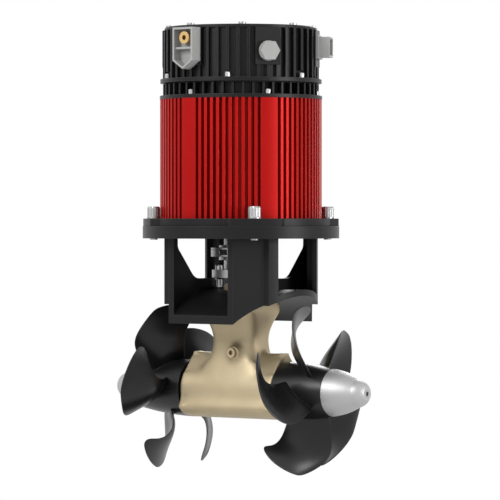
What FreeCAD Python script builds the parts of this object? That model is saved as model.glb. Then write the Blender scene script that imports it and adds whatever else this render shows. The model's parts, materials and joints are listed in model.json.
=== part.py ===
"""Twin-propeller bow thruster for a 185 mm tunnel, as a FreeCAD document.

Frame: millimetres, +Z up the drive shaft, +X along the tunnel and the propeller
shafts, origin where the drive shaft's axis meets the propeller shafts' axis.
"""
import FreeCAD
import Part
import math
import os
import Sketcher

os.makedirs("parts", exist_ok=True)
document = FreeCAD.newDocument("bow_thruster")

# ---------------------------------------------------------------- driving sizes
# Each row is one size: its name, its number in millimetres, degrees or pieces.
SIZES = [
    # tunnel that the thruster is clamped to
    ("tunnel_bore_radius", 92.5), ("tunnel_wall", 5.5),
    # running fits and small gaps
    ("running_gap", 0.05), ("free_gap", 0.4), ("bolt_gap", 0.3),
    # gear case: lower body
    ("case_half_length", 58), ("case_radius", 28.5),
    ("case_shoulder_width", 32.5), ("case_shoulder_drop", 18), ("case_keel_width", 25),
    ("case_keel_drop", 25.5), ("case_waist_drop", 6), ("case_spine_height", 38.5),
    ("case_spine_width", 5.5), ("case_spine_foot", 9), ("case_spine_fillet", 11),
    # gear case: neck and foot flange
    ("neck_root_height", 33), ("neck_root_length", 30), ("neck_root_width", 20.5),
    ("neck_waist_height", 48), ("neck_waist_length", 27.5), ("neck_waist_width", 18.8),
    ("neck_flare_height", 68), ("neck_flare_length", 29.8), ("neck_flare_width", 22.5),
    ("neck_corner", 11), ("foot_height", 81), ("foot_length", 33), ("foot_width", 29),
    ("foot_corner", 8.5),
    ("spigot_radius", 18), ("spigot_top", 108), ("oil_plug_offset", 9),
    ("oil_plug_height", 39), ("oil_boss_radius", 8), ("oil_boss_reach", 29),
    ("oil_plug_radius", 5), ("oil_plug_depth", 9), ("oil_plug_head", 1.2),
    # bevel gears
    ("pinion_teeth", 12), ("wheel_teeth", 21), ("cone_distance", 23), ("gear_face", 8),
    ("pressure_angle", 25), ("tooth_height_share", 0.8), ("tooth_root_share", 1.0),
    ("tooth_backlash", 0.16), ("pinion_bore", 5), ("pinion_hub_radius", 9.5),
    ("wheel_hub_radius", 14.5), ("gear_room_radius", 22),
    # propeller shafts, their bearings and seals
    ("wheel_bore", 10), ("prop_bearing_bore", 12.5), ("prop_bearing_radius", 23.5),
    ("prop_bearing_width", 12), ("prop_bearing_seat", 24), ("bearing_ring", 3.2),
    ("circlip_width", 1.8), ("circlip_depth", 1.2), ("circlip_ring", 3), ("prop_seal_width", 8),
    ("prop_seal_place", 44), ("prop_journal_end", 56), ("prop_shaft_radius", 10),
    ("prop_thread_radius", 5), ("prop_thread_length", 16),
    ("drive_pin_radius", 2.5), ("drive_pin_half_length", 17), ("drive_pin_place", 64),
    # drive shaft, its bearings, sleeve and seal
    ("drive_shaft_radius", 7.5), ("drive_bearing_radius", 16), ("drive_bearing_width", 9),
    ("drive_bearing_seat", 27), ("sleeve_length", 22), ("sleeve_wall", 2.2),
    ("drive_seal_width", 7), ("drive_seal_place", 73), ("drive_shaft_foot", 11.8),
    ("spigot_bore_radius", 12),
    # propellers
    ("blade_count", 5), ("hub_gap", 1.5), ("hub_length", 57.8), ("hub_root_radius", 30),
    ("hub_end_radius", 24.2), ("hub_crown_radius", 330), ("blade_middle", 91),
    ("blade_root_thickness", 6.5), ("blade_edge_thickness", 1.6), ("blade_cup", 3.2),
    ("right_blade_turn", -100), ("left_blade_turn", -84),
    # anode cones
    ("anode_length", 41), ("anode_shoulder", 30), ("anode_shoulder_radius", 14.5),
    ("anode_tip_radius", 6.6), ("anode_flank_radius", 85), ("anode_nose_radius", 16),
    ("anode_screw_head", 4.6), ("anode_screw_sink", 4), ("anode_screw_radius", 3),
    ("socket_share", 0.5),
    # bracket
    ("saddle_thickness", 6.2), ("bracket_half_width", 69.3), ("wall_inside", 34.5),
    ("wall_thickness", 6.5), ("leg_knee_out", 60), ("leg_knee_width", 43),
    ("leg_end_radius", 79.7), ("leg_wall", 4.6), ("leg_hook_angle", 25),
    ("window_top_half", 62.3), ("window_low_half", 33.2), ("window_bottom", 115),
    ("window_slope", 47.7), ("window_corner", 16.5), ("window_top_corner", 8),
    ("bracket_flange_radius", 101.7), ("bracket_flange_bottom", 156.4),
    ("bracket_flange_thickness", 12.7),
    ("leg_bolt_place", 26), ("leg_bolt_radius", 4), ("leg_bolt_boss", 9), ("leg_bolt_boss_rise", 1.6),
    ("leg_bolt_depth", 16), ("bolt_head_radius", 6.5), ("bolt_head_height", 7.5), ("bolt_tip", 1.5),
    ("washer_radius", 7.5), ("flange_washer_radius", 7), ("washer_thickness", 1.6),
    # coupling
    ("coupling_foot", 109.5), ("clamp_ring_low", 115.7), ("clamp_ring_high", 124),
    ("clamp_ring_radius", 30), ("coupling_neck_radius", 17.6), ("coupling_step_radius", 22.7),
    ("coupling_step_low", 134), ("coupling_disc_low", 137.5), ("coupling_radius", 31),
    ("coupling_disc", 2), ("jaw_height", 5), ("jaw_half_angle", 21), ("jaw_inside", 17),
    ("spider_hub", 14.5), ("spider_gap", 0.3), ("coupling_top", 157), ("coupling_step", 2.5),
    ("clamp_screw_place", 24.5), ("clamp_screw_head", 4.2), ("clamp_screw_count", 6),
    # motor flange
    ("motor_flange_thickness", 7.7), ("motor_flange_radius", 95), ("motor_lobe_radius", 101.2),
    ("motor_lobe_angle", 15), ("motor_lobe_ease", 4), ("flange_bolt_circle", 91),
    ("flange_bolt_turn", 45), ("flange_bolt_head", 6.6), ("flange_bolt_rise", 12.4),
    ("motor_boss_radius", 33), ("motor_boss_depth", 9.6),
    ("motor_boss_eye", 20),
    # motor
    ("motor_length", 122.9), ("motor_radius", 83.7), ("motor_bore", 68), ("motor_turn", -33.3),
    ("column_count", 6), ("rib_pitch", 4.5), ("rib_slots", 11), ("slot_width", 3.9),
    ("slot_floor_width", 2.6), ("slot_depth", 8),
    ("motor_shaft_radius", 12.5), ("motor_shaft_nose", 10), ("motor_shaft_foot", 145.5),
    ("motor_shaft_step", 160), ("motor_bearing_radius", 26), ("motor_bearing_width", 15),
    ("top_bearing_radius", 23.5), ("top_bearing_width", 12), ("top_boss_depth", 14),
    ("top_boss_wall", 6), ("stator_low", 196), ("stator_length", 80),
    ("stator_inside", 44), ("stator_slot_in", 47), ("stator_slot_out", 61),
    ("stator_slots", 12), ("slot_half_angle", 7), ("winding_gap", 0.5), ("end_turn", 9),
    ("rotor_radius", 43.3), ("magnet_thickness", 4), ("magnet_count", 10),
    ("magnet_half_angle", 16.5), ("rotor_inset", 3), ("shaft_top_overlap", 2),
    # heat sink under the drive
    ("plate_thickness", 3.8), ("plate_radius", 84), ("sink_height", 15.7), ("sink_wall_out", 72.5),
    ("sink_wall_in", 67.5), ("fin_reach", 80.7), ("fin_thickness", 2), ("sink_fins", 48),
    ("sink_floor", 2),
    # drive cover and its lid
    ("cover_ring_thickness", 4.2), ("cover_ring_radius", 83.5), ("cover_height", 54.6),
    ("cover_wall_out", 76.5), ("cover_wall_in", 71.5), ("cover_fin_reach", 81),
    ("cover_fin_pitch", 7.6), ("cover_fins", 5), ("cover_fin_thickness", 2.8),
    ("pad_half_width", 13.7), ("pad_reach", 80.3), ("pad_low", 333), ("lid_thickness", 3.2),
    ("lid_radius", 79), ("gasket_thickness", 1), ("gasket_half_width", 1.5),
    ("small_screw_head", 2.9), ("small_screw_rise", 4.8), ("small_screw_shank", 2),
    ("small_screw_depth", 3), ("plate_screw_circle", 79), ("ring_screw_circle", 80.2), ("head_room", 7),
    ("lid_screw_circle", 73.8), ("lid_screw_count", 8), ("lid_screw_turn", -52.5),
    ("lid_screw_head", 3.9), ("lid_screw_rise", 2.2),
    # terminals, plug and connector on the drive
    ("terminal_half_width", 13.2), ("terminal_reach", 93), ("terminal_top", 371),
    ("terminal_shoulder", 337.2), ("terminal_tip", 328.5), ("terminal_wall", 2.2),
    ("terminal_shelf", 351), ("terminal_stud_height", 360.5), ("terminal_stud_radius", 6.3),
    ("terminal_thread_radius", 2.5), ("terminal_stud_length", 12), ("terminal_back", 2.5),
    ("plug_height", 347), ("plug_across_flats", 18.6), ("plug_head", 5), ("plug_collar", 1.2),
    ("plug_collar_radius", 10.2), ("plug_shank_radius", 6), ("plug_shank", 6),
    ("connector_height", 353.2), ("connector_half_height", 10.4), ("connector_half_width", 12),
    ("connector_reach", 94.4), ("connector_wall", 1.8), ("connector_depth", 12),
    ("connector_flange", 3), ("connector_pin", 0.8), ("connector_pin_length", 6),
    ("connector_columns", 4), ("connector_pitch", 4.6), ("connector_rows_apart", 7),
    # electronics inside the drive
    ("board_radius", 62), ("board_thickness", 1.6), ("board_lift", 8), ("post_circle", 56),
    ("post_radius", 3), ("post_count", 4), ("capacitor_circle", 42), ("capacitor_radius", 9),
    ("capacitor_height", 30), ("capacitor_count", 8), ("transistor_circle", 58),
    ("transistor_half", 5), ("transistor_height", 4.4), ("transistor_count", 12),
]


class Size:
    """A length or an angle with its number and the spreadsheet expression behind it."""

    def __init__(self, number, text):
        self.number = float(number)
        self.text = text

    def __float__(self):
        return self.number

    def __add__(self, other):
        other = as_size(other)
        return Size(self.number + other.number, f"({self.text} + {other.text})")

    def __sub__(self, other):
        other = as_size(other)
        return Size(self.number - other.number, f"({self.text} - {other.text})")

    def __mul__(self, other):
        other = as_size(other)
        return Size(self.number * other.number, f"({self.text} * {other.text})")

    def __truediv__(self, other):
        other = as_size(other)
        return Size(self.number / other.number, f"({self.text} / {other.text})")

    def __neg__(self):
        return Size(-self.number, f"(-1 * {self.text})")

    def __radd__(self, other):
        return as_size(other) + self

    def __rsub__(self, other):
        return as_size(other) - self

    def __rmul__(self, other):
        return as_size(other) * self

    def __rtruediv__(self, other):
        return as_size(other) / self


def as_size(value):
    """Wrap a plain number so that it can stand beside named sizes."""
    return value if isinstance(value, Size) else Size(value, repr(float(value)))


def root_of(value):
    """Square root of a size."""
    return Size(math.sqrt(value.number), f"sqrt({value.text})")


def cosine(angle):
    """Cosine of an angle in degrees."""
    angle = as_size(angle)
    return Size(math.cos(math.radians(angle.number)), f"cos({angle.text})")


def sine(angle):
    """Sine of an angle in degrees."""
    angle = as_size(angle)
    return Size(math.sin(math.radians(angle.number)), f"sin({angle.text})")


def height_on_circle(radius, offset):
    """Height of a circle of the given radius at a sideways offset from its centre."""
    return root_of(radius * radius - offset * offset)


def fill_sheet():
    """Write every size into the spreadsheet and return them by name."""
    sheet = document.addObject("Spreadsheet::Sheet", "dims")
    named = {}
    for row, (alias, number) in enumerate(SIZES, start=1):
        sheet.set(f"A{row}", alias)
        sheet.set(f"B{row}", str(number))
        sheet.setAlias(f"B{row}", alias)
        named[alias] = Size(number, f"dims.{alias}")
    document.recompute()
    return named


S = fill_sheet()

# ------------------------------------------------------------- modelling helpers


def new_body(name):
    """Start one sub-part."""
    body = document.addObject("PartDesign::Body", name)
    body.Label = name
    return body


def origin_part(body, role):
    """One of the body's own planes or axes."""
    return [item for item in body.Origin.OriginFeatures if item.Role == role][0]


def new_sketch(body, role, name, offset=None):
    """A sketch on an origin plane, lifted along the plane's normal by offset."""
    sketch = body.newObject("Sketcher::SketchObject", f"{body.Name}_{name}")
    sketch.AttachmentSupport = (origin_part(body, role), [""])
    sketch.MapMode = "FlatFace"
    if offset is not None:
        offset = as_size(offset)
        lift = FreeCAD.Vector(0, 0, offset.number)
        sketch.AttachmentOffset = FreeCAD.Placement(lift, FreeCAD.Rotation())
        sketch.setExpression(".AttachmentOffset.Base.z", offset.text)
    return sketch


def arc_between(start, end, radius, turn):
    """Arc from start to end, bending left (turn 1) or right (turn -1) of the chord."""
    chord = end - start
    rise = math.sqrt(max(radius * radius - chord.Length * chord.Length / 4, 1e-9))
    normal = FreeCAD.Vector(-chord.y, chord.x, 0).normalize()
    centre = (start + end) * 0.5 + normal * (rise * turn)
    first, last = (start, end) if turn > 0 else (end, start)
    angle = [math.atan2(point.y - centre.y, point.x - centre.x) for point in (first, last)]
    if angle[1] <= angle[0]:
        angle[1] += 2 * math.pi
    circle = Part.Circle(centre, FreeCAD.Vector(0, 0, 1), radius)
    return Part.ArcOfCircle(circle, angle[0], angle[1])


def pin_point(sketch, curve, end, corner):
    """Hold one end of a curve at a corner by two bound distances."""
    for kind, size in zip(("DistanceX", "DistanceY"), corner):
        size = as_size(size)
        number = sketch.addConstraint(
            Sketcher.Constraint(kind, -1, 1, curve, end, size.number))
        sketch.setExpression(f"Constraints[{number}]", size.text)


def draw_outline(sketch, corners, arcs=None):
    """Close a loop of lines and arcs; arcs gives a side's (radius, turn) by its number."""
    arcs = arcs or {}
    points = [FreeCAD.Vector(float(x), float(y), 0) for x, y in corners]
    count = len(points)
    sides = []
    for side in range(count):
        start, end = points[side], points[(side + 1) % count]
        if side in arcs:
            radius, turn = as_size(arcs[side][0]), arcs[side][1]
            curve = sketch.addGeometry(arc_between(start, end, radius.number, turn), False)
            number = sketch.addConstraint(Sketcher.Constraint("Radius", curve, radius.number))
            sketch.setExpression(f"Constraints[{number}]", radius.text)
            sides.append((curve, 1, 2) if turn > 0 else (curve, 2, 1))
        else:
            curve = sketch.addGeometry(Part.LineSegment(start, end), False)
            sides.append((curve, 1, 2))
    for side in range(count):
        here, after = sides[side], sides[(side + 1) % count]
        sketch.addConstraint(Sketcher.Constraint("Coincident", here[0], here[2],
                                                 after[0], after[1]))
        pin_point(sketch, here[0], here[1], corners[side])


def draw_circle(sketch, centre, radius):
    """A circle whose centre and radius are bound to sizes."""
    radius = as_size(radius)
    place = FreeCAD.Vector(float(centre[0]), float(centre[1]), 0)
    circle = Part.Circle(place, FreeCAD.Vector(0, 0, 1), radius.number)
    curve = sketch.addGeometry(circle, False)
    number = sketch.addConstraint(Sketcher.Constraint("Radius", curve, radius.number))
    sketch.setExpression(f"Constraints[{number}]", radius.text)
    pin_point(sketch, curve, 3, centre)


def add_feature(body, kind, name, sketch, **settings):
    """Add a sketch-based feature and bind the settings that are sizes."""
    feature = body.newObject(f"PartDesign::{kind}", f"{body.Name}_{name}")
    feature.Profile = sketch
    for key, value in settings.items():
        if isinstance(value, Size):
            setattr(feature, key, value.number)
            feature.setExpression(key, value.text)
        else:
            setattr(feature, key, value)
    return feature


def pad(body, name, sketch, length, **settings):
    """Raise a sketch along its normal."""
    return add_feature(body, "Pad", name, sketch, Length=as_size(length), **settings)


def pocket(body, name, sketch, length, **settings):
    """Sink a sketch against its normal."""
    return add_feature(body, "Pocket", name, sketch, Length=as_size(length), **settings)


def revolve(body, name, sketch, axis="V_Axis", kind="Revolution"):
    """Turn a sketch all the way round one of its own axes."""
    return add_feature(body, kind, name, sketch, ReferenceAxis=(sketch, [axis]), Angle=360)


def repeat_round(body, name, features, count, role="Z_Axis"):
    """Repeat features round an axis of the body and make the pattern the tip."""
    pattern = body.newObject("PartDesign::PolarPattern", f"{body.Name}_{name}")
    pattern.Originals = features
    pattern.Axis = (origin_part(body, role), [""])
    pattern.Angle = 360
    pattern.Occurrences = int(float(count))
    pattern.setExpression("Occurrences", as_size(count).text)
    body.Tip = pattern
    return pattern


def turn_body(body, angle):
    """Place a body by turning it about the Z axis."""
    angle = as_size(angle)
    axis = FreeCAD.Vector(0, 0, 1)
    body.Placement = FreeCAD.Placement(FreeCAD.Vector(), FreeCAD.Rotation(axis, angle.number))
    body.setExpression(".Placement.Rotation.Angle", angle.text)
    body.setExpression(".Placement.Rotation.Axis.z", "1")
    body.setExpression(".Placement.Rotation.Axis.x", "0")
    body.setExpression(".Placement.Rotation.Axis.y", "0")


def turned(name, corners, arcs=None):
    """A piece turned about the Z axis from (radius, height) corners."""
    body = new_body(name)
    sketch = new_sketch(body, "XZ_Plane", "profile")
    draw_outline(sketch, corners, arcs)
    revolve(body, "turn", sketch)
    return body


def turned_on_x(name, side, corners, arcs=None):
    """A piece turned about the X axis from (distance, radius) corners on one side."""
    body = new_body(name)
    sketch = new_sketch(body, "XZ_Plane", "profile")
    mirrored = {key: (radius, turn * side) for key, (radius, turn) in (arcs or {}).items()}
    draw_outline(sketch, [(as_size(x) * side, r) for x, r in corners], mirrored)
    revolve(body, "turn", sketch, "H_Axis")
    return body


def ring(inner, outer, low, high):
    """Corners of a plain ring's section."""
    return [(inner, low), (outer, low), (outer, high), (inner, high)]


def rounded_rectangle(sketch, half_x, half_y, corner):
    """Rectangle about the origin with round corners."""
    corners = [(half_x, corner - half_y), (half_x, half_y - corner),
               (half_x - corner, half_y), (corner - half_x, half_y),
               (-half_x, half_y - corner), (-half_x, corner - half_y),
               (corner - half_x, -half_y), (half_x - corner, -half_y)]
    draw_outline(sketch, corners, {side: (corner, 1) for side in (1, 3, 5, 7)})


def sector(sketch, inner, outer, half_angle, middle=0.0):
    """Piece of a ring between two radii, half_angle each side of the middle angle."""
    low, high = middle - half_angle, middle + half_angle
    corners = [(inner * cosine(low), inner * sine(low)), (outer * cosine(low), outer * sine(low)),
               (outer * cosine(high), outer * sine(high)),
               (inner * cosine(high), inner * sine(high))]
    draw_outline(sketch, corners, {1: (outer, 1), 3: (inner, -1)})


def screw_ring(name, count, circle, turn, seat, head, rise, shank, depth):
    """Socket screws standing on a circle, head down to the seat and shank below it."""
    body = new_body(name)
    sketch = new_sketch(body, "XZ_Plane", "profile")
    socket = head * S["socket_share"]
    floor = seat + rise * 0.45
    corners = [(circle, seat - depth), (circle + shank, seat - depth), (circle + shank, seat),
               (circle + head, seat), (circle + head, seat + rise * 0.85),
               (circle + head * 0.88, seat + rise), (circle + socket, seat + rise),
               (circle + socket, floor), (circle, floor)]
    draw_outline(sketch, corners)
    axis = sketch.addGeometry(Part.LineSegment(FreeCAD.Vector(float(circle), 0, 0),
                                               FreeCAD.Vector(float(circle), 1, 0)), True)
    pin_point(sketch, axis, 1, (circle, 0))
    pin_point(sketch, axis, 2, (circle, 1))
    screw = revolve(body, "screw", sketch, "Axis0")
    repeat_round(body, "ring", [screw], count)
    turn_body(body, turn)
    return body


def hole_ring(body, name, count, circle, angle, top, radius, depth):
    """Straight holes sunk on a circle, the first at the given angle."""
    sketch = new_sketch(body, "XY_Plane", name, top)
    draw_circle(sketch, (circle * cosine(angle), circle * sine(angle)), radius)
    hole = pocket(body, name, sketch, depth)
    repeat_round(body, f"{name}_ring", [hole], count)


def washer_ring(name, count, circle, turn, seat, hole, outside, thickness):
    """Flat washers lying on a circle."""
    body = new_body(name)
    sketch = new_sketch(body, "XY_Plane", "profile", seat)
    draw_circle(sketch, (circle, 0), outside)
    draw_circle(sketch, (circle, 0), hole)
    washer = pad(body, "washer", sketch, thickness)
    repeat_round(body, "ring", [washer], count)
    turn_body(body, turn)
    return body

# ------------------------------------------------------------------ shared places
PI = math.pi
saddle_radius = S["tunnel_bore_radius"] + S["tunnel_wall"]
saddle_top = saddle_radius + S["saddle_thickness"]
flange_top = S["bracket_flange_bottom"] + S["bracket_flange_thickness"]
motor_low = flange_top + S["motor_flange_thickness"]
motor_high = motor_low + S["motor_length"]
plate_top = motor_high + S["plate_thickness"]
sink_top = motor_high + S["sink_height"]
gasket_top = sink_top + S["gasket_thickness"]
cover_ring_top = gasket_top + S["cover_ring_thickness"]
cover_top = gasket_top + S["cover_height"]
hub_start = S["case_half_length"] + S["hub_gap"]
hub_end = hub_start + S["hub_length"]
drive_bore = S["drive_bearing_radius"]
prop_room = S["prop_bearing_radius"]
prop_bearing_end = S["prop_bearing_seat"] + S["prop_bearing_width"]
pinion_bearing_top = S["drive_bearing_seat"] + S["drive_bearing_width"]
upper_bearing_low = pinion_bearing_top + S["sleeve_length"]
upper_bearing_top = upper_bearing_low + S["drive_bearing_width"]
cone_ratio = S["pinion_teeth"] / S["wheel_teeth"]
pinion_angle = math.degrees(math.atan(float(cone_ratio)))
wheel_angle = 90 - pinion_angle
tooth_module = 2 * float(S["cone_distance"]) * math.sin(math.radians(wheel_angle)) / float(
    S["wheel_teeth"])
leg_bolt_seat = saddle_top + S["leg_bolt_boss_rise"]
motor_bearing_low = motor_low - S["motor_bearing_width"] - 0.5
top_bearing_low = motor_high - S["top_bearing_width"] - 0.5

# ------------------------------------------------------------- bronze gear case


def spline_neck(body, heights):
    """Loft the case's neck through round-cornered sections at rising heights."""
    sections = []
    for number, (height, length, width, corner) in enumerate(heights):
        sketch = new_sketch(body, "XY_Plane", f"neck_{number}", height)
        rounded_rectangle(sketch, length, width, corner)
        sections.append(sketch)
    loft = body.newObject("PartDesign::AdditiveLoft", "gear_case_neck")
    loft.Profile = sections[0]
    loft.Sections = sections[1:]
    loft.Ruled = False
    return loft


def make_gear_case():
    """Cast case: pear-shaped lower body, flared neck and spigot, bored for both shafts."""
    body = new_body("gear_case")
    width, drop = S["case_shoulder_width"], S["case_shoulder_drop"]
    spine, foot = S["case_spine_width"], S["case_spine_foot"]
    waist = height_on_circle(S["case_radius"], S["case_waist_drop"])
    shelf = S["case_radius"] * 0.78
    shelf_height = height_on_circle(S["case_radius"], shelf)
    spine_foot_height = S["case_radius"] + 2.5
    right = [(spine, S["case_spine_height"]), (foot, spine_foot_height),
             (shelf, shelf_height), (waist, -S["case_waist_drop"]), (width, -drop),
             (S["case_keel_width"], -S["case_keel_drop"])]
    left = [(-x, z) for x, z in reversed(right)]
    keel_radius = S["case_keel_width"] * 3
    arcs = {1: (S["case_spine_fillet"] * 1.2, 1), 2: (S["case_radius"], -1),
            3: (S["case_shoulder_width"], 1), 5: (keel_radius, -1),
            7: (S["case_shoulder_width"], 1), 8: (S["case_radius"], -1),
            9: (S["case_spine_fillet"] * 1.2, 1)}
    profile = new_sketch(body, "YZ_Plane", "section")
    draw_outline(profile, right + left, arcs)
    pad(body, "lower_body", profile, 2 * S["case_half_length"], Midplane=True)
    heights = [
        (S["neck_root_height"] - 10, S["neck_root_length"], S["neck_root_width"], S["neck_corner"]),
        (S["neck_root_height"], S["neck_root_length"], S["neck_root_width"], S["neck_corner"]),
        (S["neck_waist_height"], S["neck_waist_length"], S["neck_waist_width"], S["neck_corner"]),
        (S["neck_flare_height"], S["neck_flare_length"], S["neck_flare_width"], S["neck_corner"]),
        (S["foot_height"], S["foot_length"], S["foot_width"], S["foot_corner"]),
    ]
    spline_neck(body, heights)
    foot_sketch = new_sketch(body, "XY_Plane", "foot", S["foot_height"])
    rounded_rectangle(foot_sketch, S["foot_length"], S["foot_width"], S["foot_corner"])
    pad(body, "foot", foot_sketch, S["tunnel_bore_radius"] - S["foot_height"] + 1)
    reach = S["foot_width"] + 6
    low = height_on_circle(S["tunnel_bore_radius"], reach)
    above = S["tunnel_bore_radius"] + 8
    crown = new_sketch(body, "YZ_Plane", "tunnel_curve")
    draw_outline(crown, [(reach, low), (reach, above), (-reach, above), (-reach, low)],
                 {3: (S["tunnel_bore_radius"], -1)})
    pocket(body, "tunnel_face", crown, 4 * S["foot_length"], Midplane=True)
    spigot = new_sketch(body, "XY_Plane", "spigot", S["foot_height"])
    draw_circle(spigot, (0, 0), S["spigot_radius"])
    pad(body, "spigot", spigot, S["spigot_top"] - S["foot_height"])
    boss = new_sketch(body, "XZ_Plane", "oil_boss")
    draw_circle(boss, (S["oil_plug_offset"], S["oil_plug_height"]), S["oil_boss_radius"])
    pad(body, "oil_boss", boss, S["oil_boss_reach"])
    bore = new_sketch(body, "XZ_Plane", "drive_bore")
    draw_outline(bore, [(0, 0), (S["pinion_hub_radius"] + 5, 0),
                        (S["pinion_hub_radius"] + 5, S["drive_bearing_seat"]),
                        (drive_bore, S["drive_bearing_seat"]),
                        (drive_bore, S["drive_seal_place"] + S["drive_seal_width"]),
                        (S["spigot_bore_radius"], S["drive_seal_place"] + S["drive_seal_width"]),
                        (S["spigot_bore_radius"], S["spigot_top"] + 1), (0, S["spigot_top"] + 1)])
    revolve(body, "drive_bore", bore, kind="Groove")
    ends = new_sketch(body, "XZ_Plane", "shaft_bore")
    half, seat = S["case_half_length"] + 1, S["prop_bearing_seat"]
    clip_end = prop_bearing_end + S["circlip_width"]
    clip_radius = prop_room + S["circlip_depth"]
    right_side = [(seat, S["gear_room_radius"]), (seat, prop_room), (prop_bearing_end, prop_room),
                  (prop_bearing_end, clip_radius), (clip_end, clip_radius),
                  (clip_end, prop_room), (half, prop_room), (half, 0)]
    draw_outline(ends, right_side + [(-x, z) for x, z in reversed(right_side)])
    revolve(body, "shaft_bore", ends, "H_Axis", kind="Groove")
    bolts = new_sketch(body, "XY_Plane", "bolt_holes", S["tunnel_bore_radius"] + 1)
    for side in (1, -1):
        draw_circle(bolts, (S["leg_bolt_place"] * side, 0), S["leg_bolt_radius"])
    pocket(body, "bolt_holes", bolts, S["leg_bolt_depth"] + 2)
    plug = new_sketch(body, "XZ_Plane", "oil_hole", S["oil_boss_reach"] - S["oil_plug_depth"])
    draw_circle(plug, (S["oil_plug_offset"], S["oil_plug_height"]), S["oil_plug_radius"])
    pocket(body, "oil_hole", plug, S["oil_plug_depth"] + 1, Reversed=True)
    return body


def make_oil_plug():
    """Flush screw plug in the filler boss."""
    body = new_body("oil_plug")
    centre = (S["oil_plug_offset"], S["oil_plug_height"])
    low = S["oil_boss_reach"] - S["oil_plug_depth"] + 1
    shank = new_sketch(body, "XZ_Plane", "shank", low)
    draw_circle(shank, centre, S["oil_plug_radius"])
    pad(body, "shank", shank, S["oil_plug_depth"] - 1 + S["oil_plug_head"])
    slot = new_sketch(body, "XZ_Plane", "slot", S["oil_boss_reach"] + S["oil_plug_head"])
    draw_circle(slot, centre, S["oil_plug_radius"] * S["socket_share"])
    pocket(body, "socket", slot, S["oil_plug_depth"] / 2)
    return body


# ------------------------------------------------------------------ bevel gears


def tooth_outline(teeth, cone_angle, scale):
    """Corners of a bevel gear's tooth ring where rays from the apex cross a plane.

    The flanks are involutes drawn on the back cone, unrolled at the heel.
    """
    cone = math.radians(cone_angle)
    pressure = math.radians(float(S["pressure_angle"]))
    distance = float(S["cone_distance"])
    pitch = distance * math.tan(cone)
    base = pitch * math.cos(pressure)
    tip = pitch + tooth_module * float(S["tooth_height_share"])
    low = pitch - tooth_module * float(S["tooth_root_share"])
    back_apex = distance / math.cos(cone)
    gap_share = float(S["tooth_backlash"]) / (2 * pitch)
    half_tooth = PI * math.cos(cone) / (2 * teeth) - gap_share
    flank = []
    for step in (0.0, 0.3, 0.65, 1.0):
        radius = low + (tip - low) * step
        slope = math.acos(min(1.0, base / max(radius, base)))
        spread = half_tooth + (math.tan(pressure) - pressure) - (math.tan(slope) - slope)
        flank.append((radius, spread / math.cos(cone)))
    corners = []
    for tooth in range(teeth):
        middle = 2 * PI * tooth / teeth
        sides = [(r, middle - a) for r, a in flank] + [(r, middle + a) for r, a in reversed(flank)]
        for radius, angle in sides:
            reach = scale * radius * math.cos(cone) / (back_apex - radius * math.sin(cone))
            corners.append(FreeCAD.Vector(reach * math.cos(angle), reach * math.sin(angle), scale))
    return corners


def bevel_gear(name, teeth, cone_angle, bore, hub_radius, back, placement):
    """Bevel gear on the Z axis with its apex at the origin, then placed."""
    teeth = int(float(teeth))
    low, high = 3.0, float(back) + 2
    rings = [tooth_outline(teeth, cone_angle, scale) for scale in (low, high)]
    faces = [Part.Face(Part.makePolygon(corners + corners[:1])) for corners in rings]
    for number, start in enumerate(rings[0]):
        after = (number + 1) % len(rings[0])
        quad = [start, rings[0][after], rings[1][after], rings[1][number], start]
        faces.append(Part.Face(Part.makePolygon(quad)))
    toothed_cone = Part.Solid(Part.makeShell(faces))
    cone = math.radians(cone_angle)
    distance = float(S["cone_distance"])
    share = 1 - float(S["gear_face"]) / distance
    tip = tooth_module * float(S["tooth_height_share"])
    low_side = tooth_module * float(S["tooth_root_share"])

    def on_heel(step):
        return (distance * math.sin(cone) + step * math.cos(cone),
                distance * math.cos(cone) - step * math.sin(cone))

    heel_tip, heel_root = on_heel(tip), on_heel(-low_side)
    toe_tip = (heel_tip[0] * share, heel_tip[1] * share)
    toe_root = (heel_root[0] * share, heel_root[1] * share)
    bore, hub_radius, back = float(bore), float(hub_radius), float(back)
    rim = heel_root[1] + tooth_module
    blank = [(bore, toe_root[1]), toe_root, toe_tip, heel_tip, heel_root,
             (heel_root[0], rim), (hub_radius, max(rim, back - (back - rim) * 0.6)),
             (hub_radius, back), (bore, back)]
    points = [FreeCAD.Vector(r, 0, z) for r, z in blank]
    face = Part.Face(Part.makePolygon(points + points[:1]))
    turned_blank = face.revolve(FreeCAD.Vector(), FreeCAD.Vector(0, 0, 1), 360)
    gear = document.addObject("Part::Feature", name)
    gear.Label = name
    shape = turned_blank.common(toothed_cone)
    gear.Shape = shape.Solids[0] if shape.Solids else shape
    gear.Placement = placement
    return gear


def make_gears():
    """One pinion between two wheels that face each other across the gear room."""
    up = FreeCAD.Placement()
    bevel_gear("drive_pinion", S["pinion_teeth"], pinion_angle, S["pinion_bore"],
               S["pinion_hub_radius"], S["drive_bearing_seat"], up)
    gap_turn = 180 / float(S["wheel_teeth"])
    for side, name in ((1, "right_bevel_wheel"), (-1, "left_bevel_wheel")):
        lay_over = FreeCAD.Rotation(FreeCAD.Vector(0, 1, 0), 90 * side)
        to_gap = FreeCAD.Rotation(FreeCAD.Vector(0, 0, 1), 180 * (side > 0) + gap_turn)
        placement = FreeCAD.Placement(FreeCAD.Vector(), lay_over * to_gap)
        bevel_gear(name, S["wheel_teeth"], wheel_angle, S["wheel_bore"], S["wheel_hub_radius"],
                   S["prop_bearing_seat"], placement)


# ---------------------------------------------------------- shafts and bearings


def ring_group(name, rings):
    """Several plain rings about the Z axis in one node."""
    body = new_body(name)
    for number, section in enumerate(rings):
        sketch = new_sketch(body, "XZ_Plane", f"profile_{number}")
        draw_outline(sketch, ring(*section))
        revolve(body, f"turn_{number}", sketch)
    return body


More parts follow.
